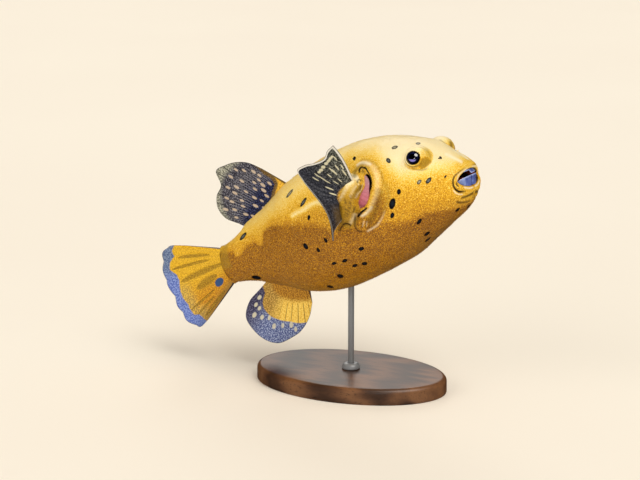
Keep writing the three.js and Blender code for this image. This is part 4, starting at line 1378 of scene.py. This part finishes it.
note(tail, "dash", tail_at["both"](dashes(tail_at, [(0.728, 0.272, 1.0)], 6.0, 3.9)))
print("pleats in the tail fin:", len(PLEATS))

# %% [markdown]
# ### Breast fins
#
# The right breast fin is raised and spread, the left one is swept back. One could be the mirror of
# the other, but a swimming puffer paddles with them in turn, so each has its own root and margin.
# Both are charcoal fans with a pale hem, a bar of cream ovals and rows of fine cream dashes.

# %% Breast fins
PECTORALS = {
    "right": {
        "root": [(97, -56, 43), (109, -61, 36), (117, -63, 24), (122, -60, 8)],
        "margin": [
            (90, -84, 78), (98, -84, 74.5), (104, -83.5, 69), (115.5, -82.5, 68), (127.5, -81, 69),
            (137.5, -80, 66.5), (135, -80.5, 55.5), (130, -81, 43.5), (125.5, -80.5, 32),
            (123, -79, 20.5), (123.5, -77, 10), (126, -74.5, 0.5), (131.5, -70, -8.5),
        ],
        "belly": (3, -3, 0),
        "lead": (-6, 0, 3),
    },
    "left": {
        "root": [(102, 56, 40), (110, 61, 32), (117, 63, 20), (121, 60, 6)],
        "margin": [
            (128, 74, 62), (141, 77, 60), (153, 79, 53), (161, 80, 43), (164, 80, 31),
            (162, 79, 18), (156, 76, 6), (147, 72, -4), (136, 68, -9),
        ],
        "belly": (3, 3, 0),
    },
}
PECTORAL_BAR = [
    (0.083, 0.77), (0.115, 0.80), (0.145, 0.82), (0.18, 0.82), (0.22, 0.76), (0.255, 0.70), (0.285, 0.66),
]
PECTORAL_DASHES = [
    (0.015, 0.25), (0.06, 0.38), (0.083, 0.24), (0.12, 0.47), (0.177, 0.45), (0.185, 0.57), (0.242, 0.44),
    (0.325, 0.45), (0.328, 0.34), (0.33, 0.59), (0.375, 0.54), (0.205, 0.19), (0.268, 0.21),
    (0.065, 0.66), (0.415, 0.21), (0.495, 0.14),
]
# Where the dark web ends and the lobe's flesh begins, as (station, height).
WEB_START = [
    (92.4, 44.1), (97.7, 41.8), (104, 39.8), (110.7, 36.9), (114.7, 33.1), (116.4, 28.8), (116.5, 23.9),
    (115.6, 19.8), (117, 14.3), (118.9, 8),
]
pectorals = {}
for label, shape in PECTORALS.items():
    made, at = fin(f"pectoral_fin_blade_{label}", thick=4, thin=1.0, rays=16, **shape)
    bar = dashes(at, [(ray, reach, chance.uniform(0.75, 1.1)) for ray, reach in PECTORAL_BAR], 1.7, 2.1)
    marks = [(ray, reach, chance.uniform(0.8, 1.15)) for ray, reach in PECTORAL_DASHES]
    note(made, "dash", at["both"](np.minimum(bar, dashes(at, marks, 4.0, 0.72))))
    note(made, "flesh", at["both"](-beyond(at, (98, 18), WEB_START)))
    pectorals[label] = made

# %% [markdown]
# ### Fin finishes
#
# All fins are matt webs with a thin wet coat, stippled with fine grains of two colours, with ray
# lines, cream marks and a hem, and with gold flesh at the root of some. One finish with many switches
# could serve them all, but it would be hard to read. So the steps that they share are a class of
# their own, and each fin has a short recipe that asks only for what its fin has.

# %% What the fins' finishes share
class FinFinish(Finish):
    def __init__(self, name):
        super().__init__(
            name, Roughness=0.45, Coat_Weight=0.10, Coat_Roughness=0.25, Specular_IOR_Level=0.2
        )
        self.at = self.kept("fish", "Vector")
        self.ray, self.reach, self.edge = (self.kept(word) for word in ("ray", "reach", "edge"))

    def stippled(self, dark, pale, scale, low, high):
        """Two colours scattered as fine grains."""
        return self.mix(self.step(self.noise(self.at, scale, 1.0), low, high), srgb(dark), srgb(pale))

    def ray_lines(self, count, sharp):
        """1 along thin lines midway between the rays, and 0 elsewhere."""
        wave = self.math("COSINE", self.times(self.ray, 2 * math.pi * count))
        return self.step(wave, 1 - sharp, 1.0)

    def ragged(self, word, scale, share=1.0):
        """A distance noted on the fin, with a ragged border."""
        return self.math("ADD", self.kept(word), self.wander(self.at, scale, share))

    def inside_mark(self, soft=0.18):
        """1 on the fin's ovals and dashes, and 0 elsewhere."""
        return self.fall(self.ragged("dash", 1.6, 0.5), 1 - soft, 1 + soft)

    def root_flesh(self, under, low, high, browned=(0.6, 2.6), shade=("6c5226", "a98243")):
        """Lays the skin's gold over a fin near its root, with painted shade, browner, where the web begins.
        """
        gold = self.ramp(self.noise(self.at, 0.5, 2.0), [(0.3, "f6c83e"), (0.5, "e4ae30"), (0.7, "bb8a29")])
        gold = self.mix(self.step(self.kept("flesh"), *browned), self.stippled(*shade, 0.9, 0.4, 0.6), gold)
        return self.mix(self.step(self.ragged("flesh", 0.8), low, high), under, gold)

    def grain(self, scale, under=None):
        """Fine unevenness all over."""
        self.set("Normal", self.bump(self.noise(self.at, scale), 0.3, 0.0004, under))


# %% Finish of the dorsal fin
slate = FinFinish("navy_fin")
near_root = slate.stippled("0f1129", "434a76", 0.75, 0.42, 0.68)
far_out = slate.stippled("2a2733", "84828a", 0.75, 0.44, 0.68)
web = slate.mix(slate.step(slate.reach, 0.25, 0.70), near_root, far_out)
corner_grey = slate.stippled("6a685a", "c4c2ae", 0.7, 0.42, 0.64)
web = slate.mix(slate.step(slate.kept("pale_corner"), -4.0, 5.0), web, corner_grey)
web = slate.lay(web, "14131c", slate.ray_lines(11, 0.16), 0.6)
streaks = slate.times(slate.ray_lines(33, 0.25), slate.step(slate.reach, 0.28, 0.40))
streaks = slate.times(streaks, slate.fall(slate.reach, 0.62, 0.78))
web = slate.lay(web, "c5c1bd", streaks, 0.42)
web = slate.lay(web, "cdb79d", slate.inside_mark(), 0.8)
web = slate.root_flesh(web, -0.6, 0.9, (3.2, 5.5), ("49381e", "86683a"))
slate.colour(slate.lay(web, "25211d", slate.fall(slate.edge, 0.4, 1.2), 0.8))
slate.grain(1.1)
slate.wear(dorsal)

# %% Finish of the breast fins
charcoal = FinFinish("charcoal_fin")
upper = charcoal.stippled("2f2f29", "88887b", 0.75, 0.42, 0.68)
lower = charcoal.stippled("1f2029", "4b4c55", 0.75, 0.40, 0.72)
web = charcoal.mix(charcoal.step(charcoal.ray, 0.05, 0.40), upper, lower)
web = charcoal.lay(web, "0d0d12", charcoal.ray_lines(16, 0.3), 0.35)
last_rays = charcoal.times(charcoal.step(charcoal.ray, 0.62, 0.85), 0.6)
web = charcoal.lay(web, "6c5323", charcoal.times(last_rays, charcoal.fall(charcoal.reach, 0.15, 0.45)))
web = charcoal.lay(web, "d9d0ac", charcoal.inside_mark(), 0.85)
hem_width = charcoal.math("SUBTRACT", 2.3, charcoal.step(charcoal.ray, 0.35, 0.5))
in_hem = charcoal.math("LESS_THAN", charcoal.edge, hem_width)
fading = charcoal.math("SUBTRACT", 0.9, charcoal.times(charcoal.step(charcoal.ray, 0.45, 0.80), 0.5))
web = charcoal.lay(web, "e4ddd0", charcoal.times(in_hem, fading))
web = charcoal.lay(web, "4a443a", charcoal.fall(charcoal.edge, 0.3, 0.7), 0.8)
charcoal.colour(charcoal.root_flesh(web, -0.4, 0.8))
charcoal.grain(1.2)
for made in pectorals.values():
    charcoal.wear(made)

# %% Finish of the anal fin
cobalt = FinFinish("blue_and_gold_fin")
gold_part = cobalt.stippled("e5ad30", "ffd866", 0.75, 0.36, 0.55)
dull_part = cobalt.stippled("94702c", "d9ac52", 0.75, 0.42, 0.64)
gold_part = cobalt.mix(cobalt.step(cobalt.ray, 0.42, 0.66), gold_part, dull_part)
root_part = cobalt.stippled("925f12", "c98f26", 0.75, 0.42, 0.60)
web = cobalt.mix(cobalt.step(cobalt.ragged("gold", 0.9), -6.5, 2.0), root_part, gold_part)
lines = cobalt.times(cobalt.ray_lines(12, 0.10), cobalt.step(cobalt.kept("gold"), -1.0, 2.0))
web = cobalt.lay(web, "6b4a17", cobalt.times(lines, cobalt.fall(cobalt.ray, 0.40, 0.58)), 0.8)
blue_part = cobalt.stippled("4a568a", "a9b4d2", 0.7, 0.44, 0.64)
navy_part = cobalt.stippled("322e48", "726f8a", 0.75, 0.44, 0.66)
blue_part = cobalt.mix(cobalt.step(cobalt.ray, 0.58, 0.80), blue_part, navy_part)
web = cobalt.mix(cobalt.step(cobalt.ragged("blue", 0.9), -0.7, 0.7), web, blue_part)
web = cobalt.lay(web, "dcd3b4", cobalt.inside_mark(), 0.8)
cobalt.colour(cobalt.lay(web, "2c2c44", cobalt.fall(cobalt.edge, 0.3, 0.9), 0.7))
cobalt.grain(1.1)
cobalt.wear(anal)

# %% Finish of the tail fin
amber = FinFinish("golden_tail_fin")
bright = amber.stippled("c69418", "e8b82c", 0.75, 0.38, 0.62)
warm = amber.stippled("b0720f", "d99c1e", 0.75, 0.40, 0.62)
web = amber.mix(amber.step(amber.ray, 0.45, 0.80), bright, warm)
# The lower web is duller, olive-grey, near the hem.
dull_olive = amber.stippled("94824c", "e0bb58", 0.75, 0.44, 0.58)
lower_dulling = amber.times(amber.step(amber.kept("blue"), -20.0, -5.0), 0.7)
web = amber.mix(amber.times(lower_dulling, amber.step(amber.ray, 0.45, 0.60)), web, dull_olive)
low_side = amber.step(amber.ray, 0.78, 0.93)
web = amber.lay(web, "8a6a30", low_side, 0.7)
# Painted shade in the pleats' folds.
pleat_shade = amber.stippled("7d5c12", "a8821e", 0.75, 0.42, 0.60)
web = amber.mix(amber.times(amber.kept("pleat"), 0.75), web, pleat_shade)
blue_hem = amber.stippled("5064ae", "8a9bd2", 0.7, 0.42, 0.60)
dull_hem = amber.stippled("4d5f82", "8492ac", 0.7, 0.42, 0.60)
blue_hem = amber.mix(amber.step(amber.ray, 0.30, 0.48), dull_hem, blue_hem)
blue_hem = amber.lay(blue_hem, "55648f", low_side, 0.7)
web = amber.mix(amber.step(amber.ragged("blue", 0.7), -0.6, 0.6), web, blue_hem)
web = amber.lay(web, "34507e", amber.inside_mark(soft=0.08))
amber.colour(amber.lay(web, "1f2b45", amber.fall(amber.edge, 0.3, 1.0), 0.85))
amber.grain(1.0, amber.bump(amber.kept("pleat"), 0.6, 0.0012))
amber.wear(tail)
for finish in (slate, charcoal, cobalt, amber):
    print(finish.material.name + ":", len(finish.tree.nodes), "nodes")

# %% Place the fins
placing = [
    (dorsal, "dorsal_fin", "dark_fins"), (anal, "anal_fin", "anal_fin"), (tail, "caudal_fin", "tail_fin"),
    (pectorals["right"], "pectoral_fin_right", "dark_fins"),
    (pectorals["left"], "pectoral_fin_left", "dark_fins"),
]
for thing, node, slot in placing:
    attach(thing, "root")
    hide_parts(node)


# %% [markdown]
# ## Eyes
#
# The eye is a dark glossy ball with an almost black pupil and a midnight-blue iris, and a painted
# violet glint of light in the iris's lower half. It could be two shells, a clear cornea over a flat
# iris, but under so dark an iris the depth wouldn't show. One ball does, with a strong clear coat.
# Its colour depends only on the angle from the line of sight, which is kept on every point.

# %% Eyeballs
def ball(name, centre, half, rows=72, columns=96, axis=(0, 0, 1)):
    """A smooth closed egg, its poles along an axis. Returns it with each point's way from its centre."""
    polar = np.linspace(0, math.pi, rows + 1)[1:-1]
    turn = np.arange(columns) * 2 * math.pi / columns
    polar, turn = np.meshgrid(polar, turn, indexing="ij")
    rings = np.stack([np.sin(polar) * np.cos(turn), np.sin(polar) * np.sin(turn), np.cos(polar)], axis=-1)
    ways = np.concatenate([[[0, 0, 1.0]], rings.reshape(-1, 3), [[0, 0, -1.0]]])
    ways = ways @ np.array(Vector((0, 0, 1)).rotation_difference(Vector(axis)).to_matrix()).T
    points = to_room(np.array(centre) + ways * half)
    return make_mesh(name, points, *closed_grid(rows - 1, columns, (0, len(ways) - 1), first=1)), ways


glass = Finish("eye_glass", Roughness=0.06, Coat_Weight=1.0, Coat_Roughness=0.02, IOR=1.6, Coat_IOR=1.8)
from_sight = glass.kept("from_sight")
fibres = glass.noise(glass.kept("iris", "Vector"), 9.0, 3.0)
iris = glass.ramp(fibres, [(0.35, "05060f"), (0.55, "0c1230"), (0.7, "1c2458")])
shown = glass.mix(glass.step(from_sight, 24.0, 28.0), srgb("010104"), iris)
shown = glass.lay(shown, "030409", glass.step(from_sight, 38.0, 44.0))
# Painted light: a violet glint in the iris's lower half.
painted_glint = glass.times(glass.step(glass.kept("low_side"), 0.17, 0.27), glass.step(from_sight, 11.0, 15.0))
painted_glint = glass.times(painted_glint, glass.fall(from_sight, 26.0, 32.0))
shown = glass.lay(shown, "8d86d0", painted_glint, 0.9)
shown = glass.lay(shown, "3a2c10", glass.step(from_sight, 50.0, 54.0))
glass.colour(shown)

for label, side in SIDES.items():
    centre, looks = eye_frame(side)
    eye, ways = ball(f"eyeball_{label}", centre, EYE["radius"], axis=looks)
    sight = ways @ looks
    note(eye, "from_sight", np.degrees(np.arccos(np.clip(sight, -1, 1))))
    note(eye, "iris", ways - sight[:, None] * looks)
    down = np.array([math.sin(PITCH), 0.0, -math.cos(PITCH)])  # down in the room, seen by the fish
    note(eye, "low_side", ways @ down - sight * (looks @ down))
    glass.wear(eye)
    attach(eye, "root")
    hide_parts(f"eye_{label}")
print("eyeballs:", len(eye.data.polygons), "faces each")

# %% [markdown]
# ## Teeth and tongue
#
# A puffer's beak is four plates, two above and two below, with a fine cleft between left and right.
# One ring could be cut in four, but then all four would be alike, and a live beak wears unevenly. So
# each plate is a curved wall of its own, thick at its root and sharp at its edge. The tongue is a low
# wet cushion behind them.

# %% Teeth
# The right upper plate is worn shorter than the left one, as a beak often is.
BEAK = {
    "front": 5.0, "back": 21.0, "half_width": 20.0, "cleft": 0.25, "sweep": 0.94, "lean": 4.0,
    "full": 0.65, "half_at_edge": 0.45, "half_added": 0.80, "bevel": 0.9,
}
JAWS = {
    "upper": {"root": 18.0, "edge": {"left": 9.6, "right": 13.0}, "corner": 13.2},
    "lower": {"root": -3.0, "edge": {"left": 8.2, "right": 8.2}, "corner": 5.4},
}
enamel = Finish("blue_enamel", Roughness=0.22, Coat_Weight=0.6, Coat_Roughness=0.08)
growth = enamel.noise(enamel.kept("fish", "Vector"), 0.25, 3.0)
blue = enamel.ramp(growth, [(0.3, "4a589a"), (0.5, "5a6aae"), (0.75, "7385c4")])
sunlit = enamel.ramp(growth, [(0.3, "7485bf"), (0.5, "8798cf"), (0.75, "a3b2e2")])
blue = enamel.mix(enamel.step(enamel.kept("round"), 0.34, 0.42), blue, sunlit)
blue = enamel.lay(blue, "a9b8e8", enamel.step(enamel.kept("to_edge"), 0.85, 1.0))
enamel.colour(blue)
enamel.set("Normal", enamel.bump(growth, 0.2, 0.0005))


def tooth(name, jaw, label, rows=40, columns=28):
    """One beak plate, from its root at u 0 to its cutting edge at u 1."""
    t, u = np.meshgrid(np.linspace(0, 1, rows), np.linspace(0, 1, columns), indexing="ij")
    side, short = SIDES[label], jaw["edge"][label]
    turn = math.pi / 2 * t * BEAK["sweep"]
    inset = BEAK["lean"] * (1 - u)
    station = BEAK["back"] - (BEAK["back"] - BEAK["front"] - inset) * np.cos(turn) ** BEAK["full"]
    left = (BEAK["half_width"] - inset) * np.sin(turn) ** BEAK["full"] + BEAK["cleft"]
    rise = short + (jaw["corner"] - short) * t**3
    sheet = np.stack([station, side * left, jaw["root"] + (rise - jaw["root"]) * u], axis=-1)
    across = np.cross(np.gradient(sheet, axis=0), np.gradient(sheet, axis=1))
    across /= np.linalg.norm(across, axis=-1, keepdims=True)
    half = BEAK["half_at_edge"] + BEAK["half_added"] * (1 - u) * (1 - 0.5 * t)
    edge = np.minimum(np.minimum(t * 16, (1 - t) * 16), (1 - u) * 12)
    half = half * np.sqrt(np.clip(1 - (1 - np.clip(edge / BEAK["bevel"], 0, 1)) ** 2, 0.02, 1))
    shell = [sheet + across * half[..., None], sheet - across * half[..., None]]
    points = np.concatenate([face.reshape(-1, 3) for face in shell])
    number = np.arange(rows * columns).reshape(rows, columns)
    ring = np.concatenate([number[:-1, 0], number[-1, :-1], number[:0:-1, -1], number[0, :0:-1]])
    after = np.roll(ring, -1)
    wall = np.stack([after, ring, ring + rows * columns, after + rows * columns], axis=-1)
    squares = grid_squares(rows, columns)
    squares = np.concatenate([squares[:, ::-1], squares + rows * columns, wall])
    made = make_mesh(name, to_room(points), squares)
    for word, values in (("fish", sheet.reshape(-1, 3)), ("to_edge", u.ravel()), ("round", t.ravel())):
        note(made, word, np.concatenate([values, values]))
    return made


for label in SIDES:
    for jaw_name, jaw in JAWS.items():
        plate = tooth(f"{jaw_name}_plate_{label}", jaw, label)
        enamel.wear(plate)
        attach(plate, "root")
        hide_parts(f"{jaw_name}_tooth_{label}")

# %% Tongue
tongue, ways = ball("tongue_pad", (21, 0, 5), (8, 9, 4.4), rows=48, columns=64)
flesh = Finish("wet_tongue", Roughness=0.3, Coat_Weight=0.7, Coat_Roughness=0.1)
buds = flesh.add("TexCoord", output="Object")
speckle = flesh.noise(buds, 900.0, 2.0)
flesh.colour(flesh.ramp(speckle, [(0.3, "7a231c"), (0.7, "b8483a")]))
flesh.set("Normal", flesh.bump(speckle, 0.4, 0.0004))
flesh.wear(tongue)
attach(tongue, "root")
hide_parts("tongue")

# %% [markdown]
# ## Gill tissue
#
# In the slit lies a soft pink flap, ribbed by the gill arches beneath. The slit's floor could simply
# be coloured pink, but the flap's rounded edge is what gives the opening its depth. So it is a narrow
# cushion that follows the slit's middle line, set back from the front wall so that a dark gap shows.

# %% Gill flaps
rose = Finish("rose_gill", Roughness=0.32, Coat_Weight=0.6, Coat_Roughness=0.12)
rose_at = rose.kept("fish", "Vector")
# Paler at the slit's upper end and darkest at its lower tip, partly painted light and shade.
tissue = rose.ramp(rose.kept("along"), [
    (0.1, "b88c92"), (0.4, "bd7a86"), (0.75, "c46c7a"), (0.9, "a85562"), (1.0, "6e3440"),
])
rose.colour(rose.lay(tissue, "e0a9b0", rose.step(rose.noise(rose_at, 1.1), 0.55, 0.70), 0.35))
rose.set("Normal", rose.bump(rose.noise(rose_at, 1.4), 0.3, 0.0004))

GILL_SPAN = (0.06, 1.0)
FRONT_GAP = 2.9  # the dark gap between the flap and the slit's front edge, at its widest
FLAP_DEPTH = 1.9  # how far its middle lies under the body's plain surface
FLAP_SWELL, RIB_SWELL, RIBS = 1.5, 0.22, 9


def gill_flap(name, side, rows=90, columns=26):
    """A closed ribbed cushion along the slit."""
    turn_round = np.arange(columns) * 2 * math.pi / columns
    t = np.linspace(0, 1, rows)
    s = GILL_SPAN[0] + (GILL_SPAN[1] - GILL_SPAN[0]) * t
    line = rail(GILL_LINE)(s)
    ahead = np.gradient(line, axis=0)
    ahead /= np.linalg.norm(ahead, axis=1, keepdims=True)
    across = np.stack([-ahead[:, 1], ahead[:, 0]], axis=-1)
    across *= np.sign(across[:, :1] + 1e-9)
    gap = FRONT_GAP * (1 - ease(s, 0.45, 0.80))
    wide = slit_half(s) - gap / 2 + 0.5
    wide *= np.sqrt(np.clip(1 - (2 * np.clip(t, 0.06, 0.96) - 1) ** 8, 0.05, 1))
    offset = gap[:, None] / 2 + wide[:, None] * np.cos(turn_round)
    place = line[:, None] + across[:, None] * offset[..., None]
    t_near = np.interp(line[:, 0], body(ring_t, np.full(ring_t.shape, 1.3))[:, 0], ring_t)
    outer = []
    for row in range(rows):
        ring = body(np.full(400, t_near[row]), np.linspace(0.3, 2.2, 400))
        outer.append(np.interp(-line[row, 1], -ring[:, 2], ring[:, 1]))
    ribs = RIB_SWELL * np.cos(t * 2 * math.pi * RIBS)
    swell = (FLAP_SWELL + ribs)[:, None] * np.sin(turn_round)
    left = side * (np.array(outer)[:, None] - FLAP_DEPTH + swell)
    points = np.stack([place[..., 0], left, place[..., 1]], axis=-1)
    hubs = points[[0, -1]].mean(axis=1)
    flat = np.concatenate([points.reshape(-1, 3), hubs])
    count = rows * columns
    made = make_mesh(name, to_room(flat), *closed_grid(rows, columns, (count, count + 1)))
    note(made, "fish", flat)
    note(made, "along", np.concatenate([np.repeat(t, columns), [0, 1]]))
    return made


for label, side in SIDES.items():
    flap = gill_flap(f"gill_flap_{label}", side)
    rose.wear(flap)
    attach(flap, "root")
    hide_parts(f"gill_{label}")
print("gill flaps:", len(flap.data.polygons), "faces each")

# %% [markdown]
# ## Nasal tentacles
#
# Puffers smell with a short forked flap before each eye, two thin petals on one stalk. It could be
# drawn out of the skin, but it is far finer than the skin's grid. So each petal is a small flattened
# egg that narrows to its stalk, and the two are joined.

# %% Nasal tentacles
NOSE = {"at": (21, 20, 33), "length": 2.0, "width": 1.1, "thickness": 0.7, "fork": 0.5, "lean": 1.5}
NOSTRIL_SPOT = {"left": 9.0, "right": 0.8}  # the right flap is dark, as if it stood in a spot


def petal(fork, side, spot):
    """One petal of the flap, turned by its fork and leant out to its side."""
    made, ways = ball("petal", (0, 0, 0), 1.0, rows=16, columns=20)
    taper = 1 - 0.35 * ease(-ways[:, 2:], -0.2, 1)
    shape = ways * (NOSE["width"], NOSE["thickness"], NOSE["length"] / 2 + 0.9)
    shape[:, :2] *= taper
    shape[:, 2] += NOSE["length"] / 2 - 0.6
    shape = swung(swung(shape, 0, 2, -fork), 1, 2, -side * NOSE["lean"])
    shape += np.array(NOSE["at"]) * [1, side, 1]
    made.data.vertices.foreach_set("co", to_room(shape).astype(np.float32).ravel())
    note(made, "fish", shape)
    for word, value in (("tone", 0.12), ("spot", spot), ("ring_spot", 9.0), ("grey_spot", 9.0)):
        note(made, word, np.full(len(shape), value))
    return made


for label, side in SIDES.items():
    petals = [petal(fork, side, NOSTRIL_SPOT[label]) for fork in (-NOSE["fork"], NOSE["fork"])]
    with bpy.context.temp_override(active_object=petals[0], selected_editable_objects=petals):
        bpy.ops.object.join()
    tentacle = petals[0]
    tentacle.name = f"nostril_flap_{label}"
    hide.wear(tentacle)
    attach(tentacle, "root")
    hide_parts(f"nasal_tentacle_{label}")
print("nasal tentacles:", len(tentacle.data.polygons), "faces each")

# %% [markdown]
# ## The stand
#
# A plain museum stand: an oval walnut plinth with a rounded edge, a turned steel collar and one rod.
# Boxes and cylinders with a bevel could do, but all three are turned forms, so they are profiles
# swept round an upright axis. Their sizes are read from the solids. The wood's grain is a noise drawn
# out along the plinth, and the steel's is drawn out round the rod.

# %% Turned forms
def turned(name, rings, columns, hollow=False):
    """A form swept round the upright axis from (half length, half width, height) in millimetres.

    A solid form is shut by a fan at each end. In a hollow one, the last ring meets the first.
    """
    turn = np.arange(columns) * 2 * math.pi / columns
    half_x, half_y, high = np.transpose(np.array(rings, float))[..., None]
    points = np.stack([half_x * np.cos(turn), half_y * np.sin(turn), high + 0 * turn], axis=-1)
    points = points.reshape(-1, 3)
    count = len(points)
    if hollow:
        return make_mesh(name, points * MM, grid_squares(len(rings) + 1, columns, closed=True) % count)
    points = np.vstack([points, [0, 0, rings[0][2]], [0, 0, rings[-1][2]]])
    return make_mesh(name, points * MM, *closed_grid(len(rings), columns, (count, count + 1)))


# %% Plinth
BEVEL = 5.0
plinth_low, plinth_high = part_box("stand_base")
half_long, half_wide = (plinth_high.x - plinth_low.x) / 2 / MM, (plinth_high.y - plinth_low.y) / 2 / MM
thickness = plinth_high.z / MM
# How far inside the outline each ring lies, and its height.
insets = [(1.0, 0.0), (0.4, 0.4)] + [(0.0, z) for z in np.linspace(1.0, thickness - BEVEL, 4)]
insets += [
    (BEVEL * (1 - math.cos(a)), thickness - BEVEL + BEVEL * math.sin(a))
    for a in np.linspace(0.15, math.pi / 2, 12)
]
insets += [(BEVEL + step, thickness) for step in (3, 12, 28)]
plinth = turned("stand_plinth", [(half_long - i, half_wide - i, z) for i, z in insets], 160)
walnut = Finish("oiled_walnut", Roughness=0.42, Coat_Weight=0.25, Coat_Roughness=0.3)
wood_at = walnut.add("TexCoord", output="Object")
lengthwise = walnut.add("Mapping", {"Vector": wood_at, "Scale": (3.0, 26.0, 26.0)})
figure = walnut.noise(lengthwise, 3.0, 4.0, 0.6)
bands = walnut.add("TexWave", {"Vector": lengthwise, "Scale": 1.6, "Distortion": 5.0, "Detail": 3.0})
pores = walnut.noise(walnut.add("Mapping", {"Vector": wood_at, "Scale": (60.0, 1400.0, 1400.0)}), 1.0)
drawn = walnut.math("ADD", walnut.times(figure, 0.6), walnut.times(bands, 0.4))
brown = walnut.ramp(drawn, [(0.25, "3a2416"), (0.5, "5c3a22"), (0.75, "7c5230")])
walnut.colour(walnut.lay(brown, "2a180e", walnut.step(pores, 0.60, 0.70)))
walnut.set("Normal", walnut.bump(pores, 0.15, 0.0003))
walnut.wear(plinth)
print("plinth:", round(2 * half_long, 1), "x", round(2 * half_wide, 1), "x", round(thickness, 1), "mm")

# %% Collar and rod
CLEARANCE = 0.3  # between the collar's bore and the rod
collar_low, collar_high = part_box("stand_collar")
collar_radius = (collar_high.x - collar_low.x) / 2 / MM
rod_low, rod_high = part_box("stand_rod")
rod_radius = (rod_high.x - rod_low.x) / 2 / MM
foot, rise = collar_low.z / MM, (collar_high.z - collar_low.z) / MM
bore = rod_radius + CLEARANCE
profile = [(bore, foot), (collar_radius - 0.3, foot)]
profile += [(collar_radius, foot + 0.4), (collar_radius, foot + 0.3 * rise)]
profile += [
    (collar_radius - 3.2 * (1 - math.cos(a)) - 0.2, foot + rise * (0.3 + 0.62 * math.sin(a)))
    for a in np.linspace(0.2, math.pi / 2, 9)
]
profile += [(rod_radius + 0.9, foot + rise - 0.1), (bore, foot + rise - 0.4)]
ring = turned("stand_ring", [(radius, radius, z) for radius, z in profile], 96, hollow=True)

CHAMFER = 0.5
rod_foot, rod_top = rod_low.z / MM, rod_high.z / MM
profile = [(rod_radius - CHAMFER, rod_foot), (rod_radius, rod_foot + CHAMFER)]
profile += [(rod_radius, rod_top - CHAMFER), (rod_radius - CHAMFER, rod_top)]
shaft = turned("stand_shaft", [(radius, radius, z) for radius, z in profile], 64)
print("rod:", round(2 * rod_radius, 1), "mm thick and", round(rod_top - rod_foot, 1), "mm long")

# %% Finish of the steel
steel = Finish("brushed_steel", Metallic=0.35)
steel_at = steel.add("TexCoord", output="Object")
turning = steel.noise(steel.add("Mapping", {"Vector": steel_at, "Scale": (8.0, 8.0, 5000.0)}), 1.0)
steel.colour(steel.ramp(turning, [(0.3, "85878a"), (0.7, "a9abad")]))
steel.set("Roughness", steel.step(turning, -0.6, 2.2, "LINEAR"))
steel.set("Normal", steel.bump(turning, 0.08, 0.0002))
steel.wear(ring)
steel.wear(shaft)

# %% Place the stand
for thing, node, slot in (
    (plinth, "stand_base", "wood"), (ring, "stand_collar", "steel"), (shaft, "stand_rod", "steel"),
):
    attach(thing, "root")
    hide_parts(node)

# %% [markdown]
# ## The floor
#
# A plain pale floor, far larger than the view, so that its edge never shows. A curved backdrop would
# do as well, but a flat one looks the same from every side. It shows to the viewer alone: the light
# that a real floor throws up at the fish already comes from the room.

# %% Floor
HALF_FLOOR = 6.0
floor_corners = HALF_FLOOR * np.array([[-1, -1, 0], [1, -1, 0], [1, 1, 0], [-1, 1, 0]])
floor = make_mesh("floor", floor_corners, [[0, 1, 2, 3]])
plaster = Finish("pale_plaster", Roughness=0.9)
floor_at = plaster.add("TexCoord", output="Object")
cloud = plaster.noise(floor_at, 1.2, 2.0)
plaster.colour(plaster.ramp(cloud, [(0.3, "faf3e6"), (0.7, "f8f0e3")]))
plaster.set("Specular IOR Level", 0.1)
plaster.wear(floor)
floor.visible_diffuse = False
floor.visible_glossy = False
floor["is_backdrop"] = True

# %% [markdown]
# ## Sizes
#
# Last, the box of the dressed model is printed beside the box of the solids, so that the two can be
# compared. The dress must not outgrow the solids.

# %% Write the sizes and finish
dressed_box = [list(corner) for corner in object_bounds()]
for name, box in (("solids", cad_box), ("dressed", dressed_box)):
    print(name, [round((high - low) / MM, 1) for low, high in zip(*box)], "mm")
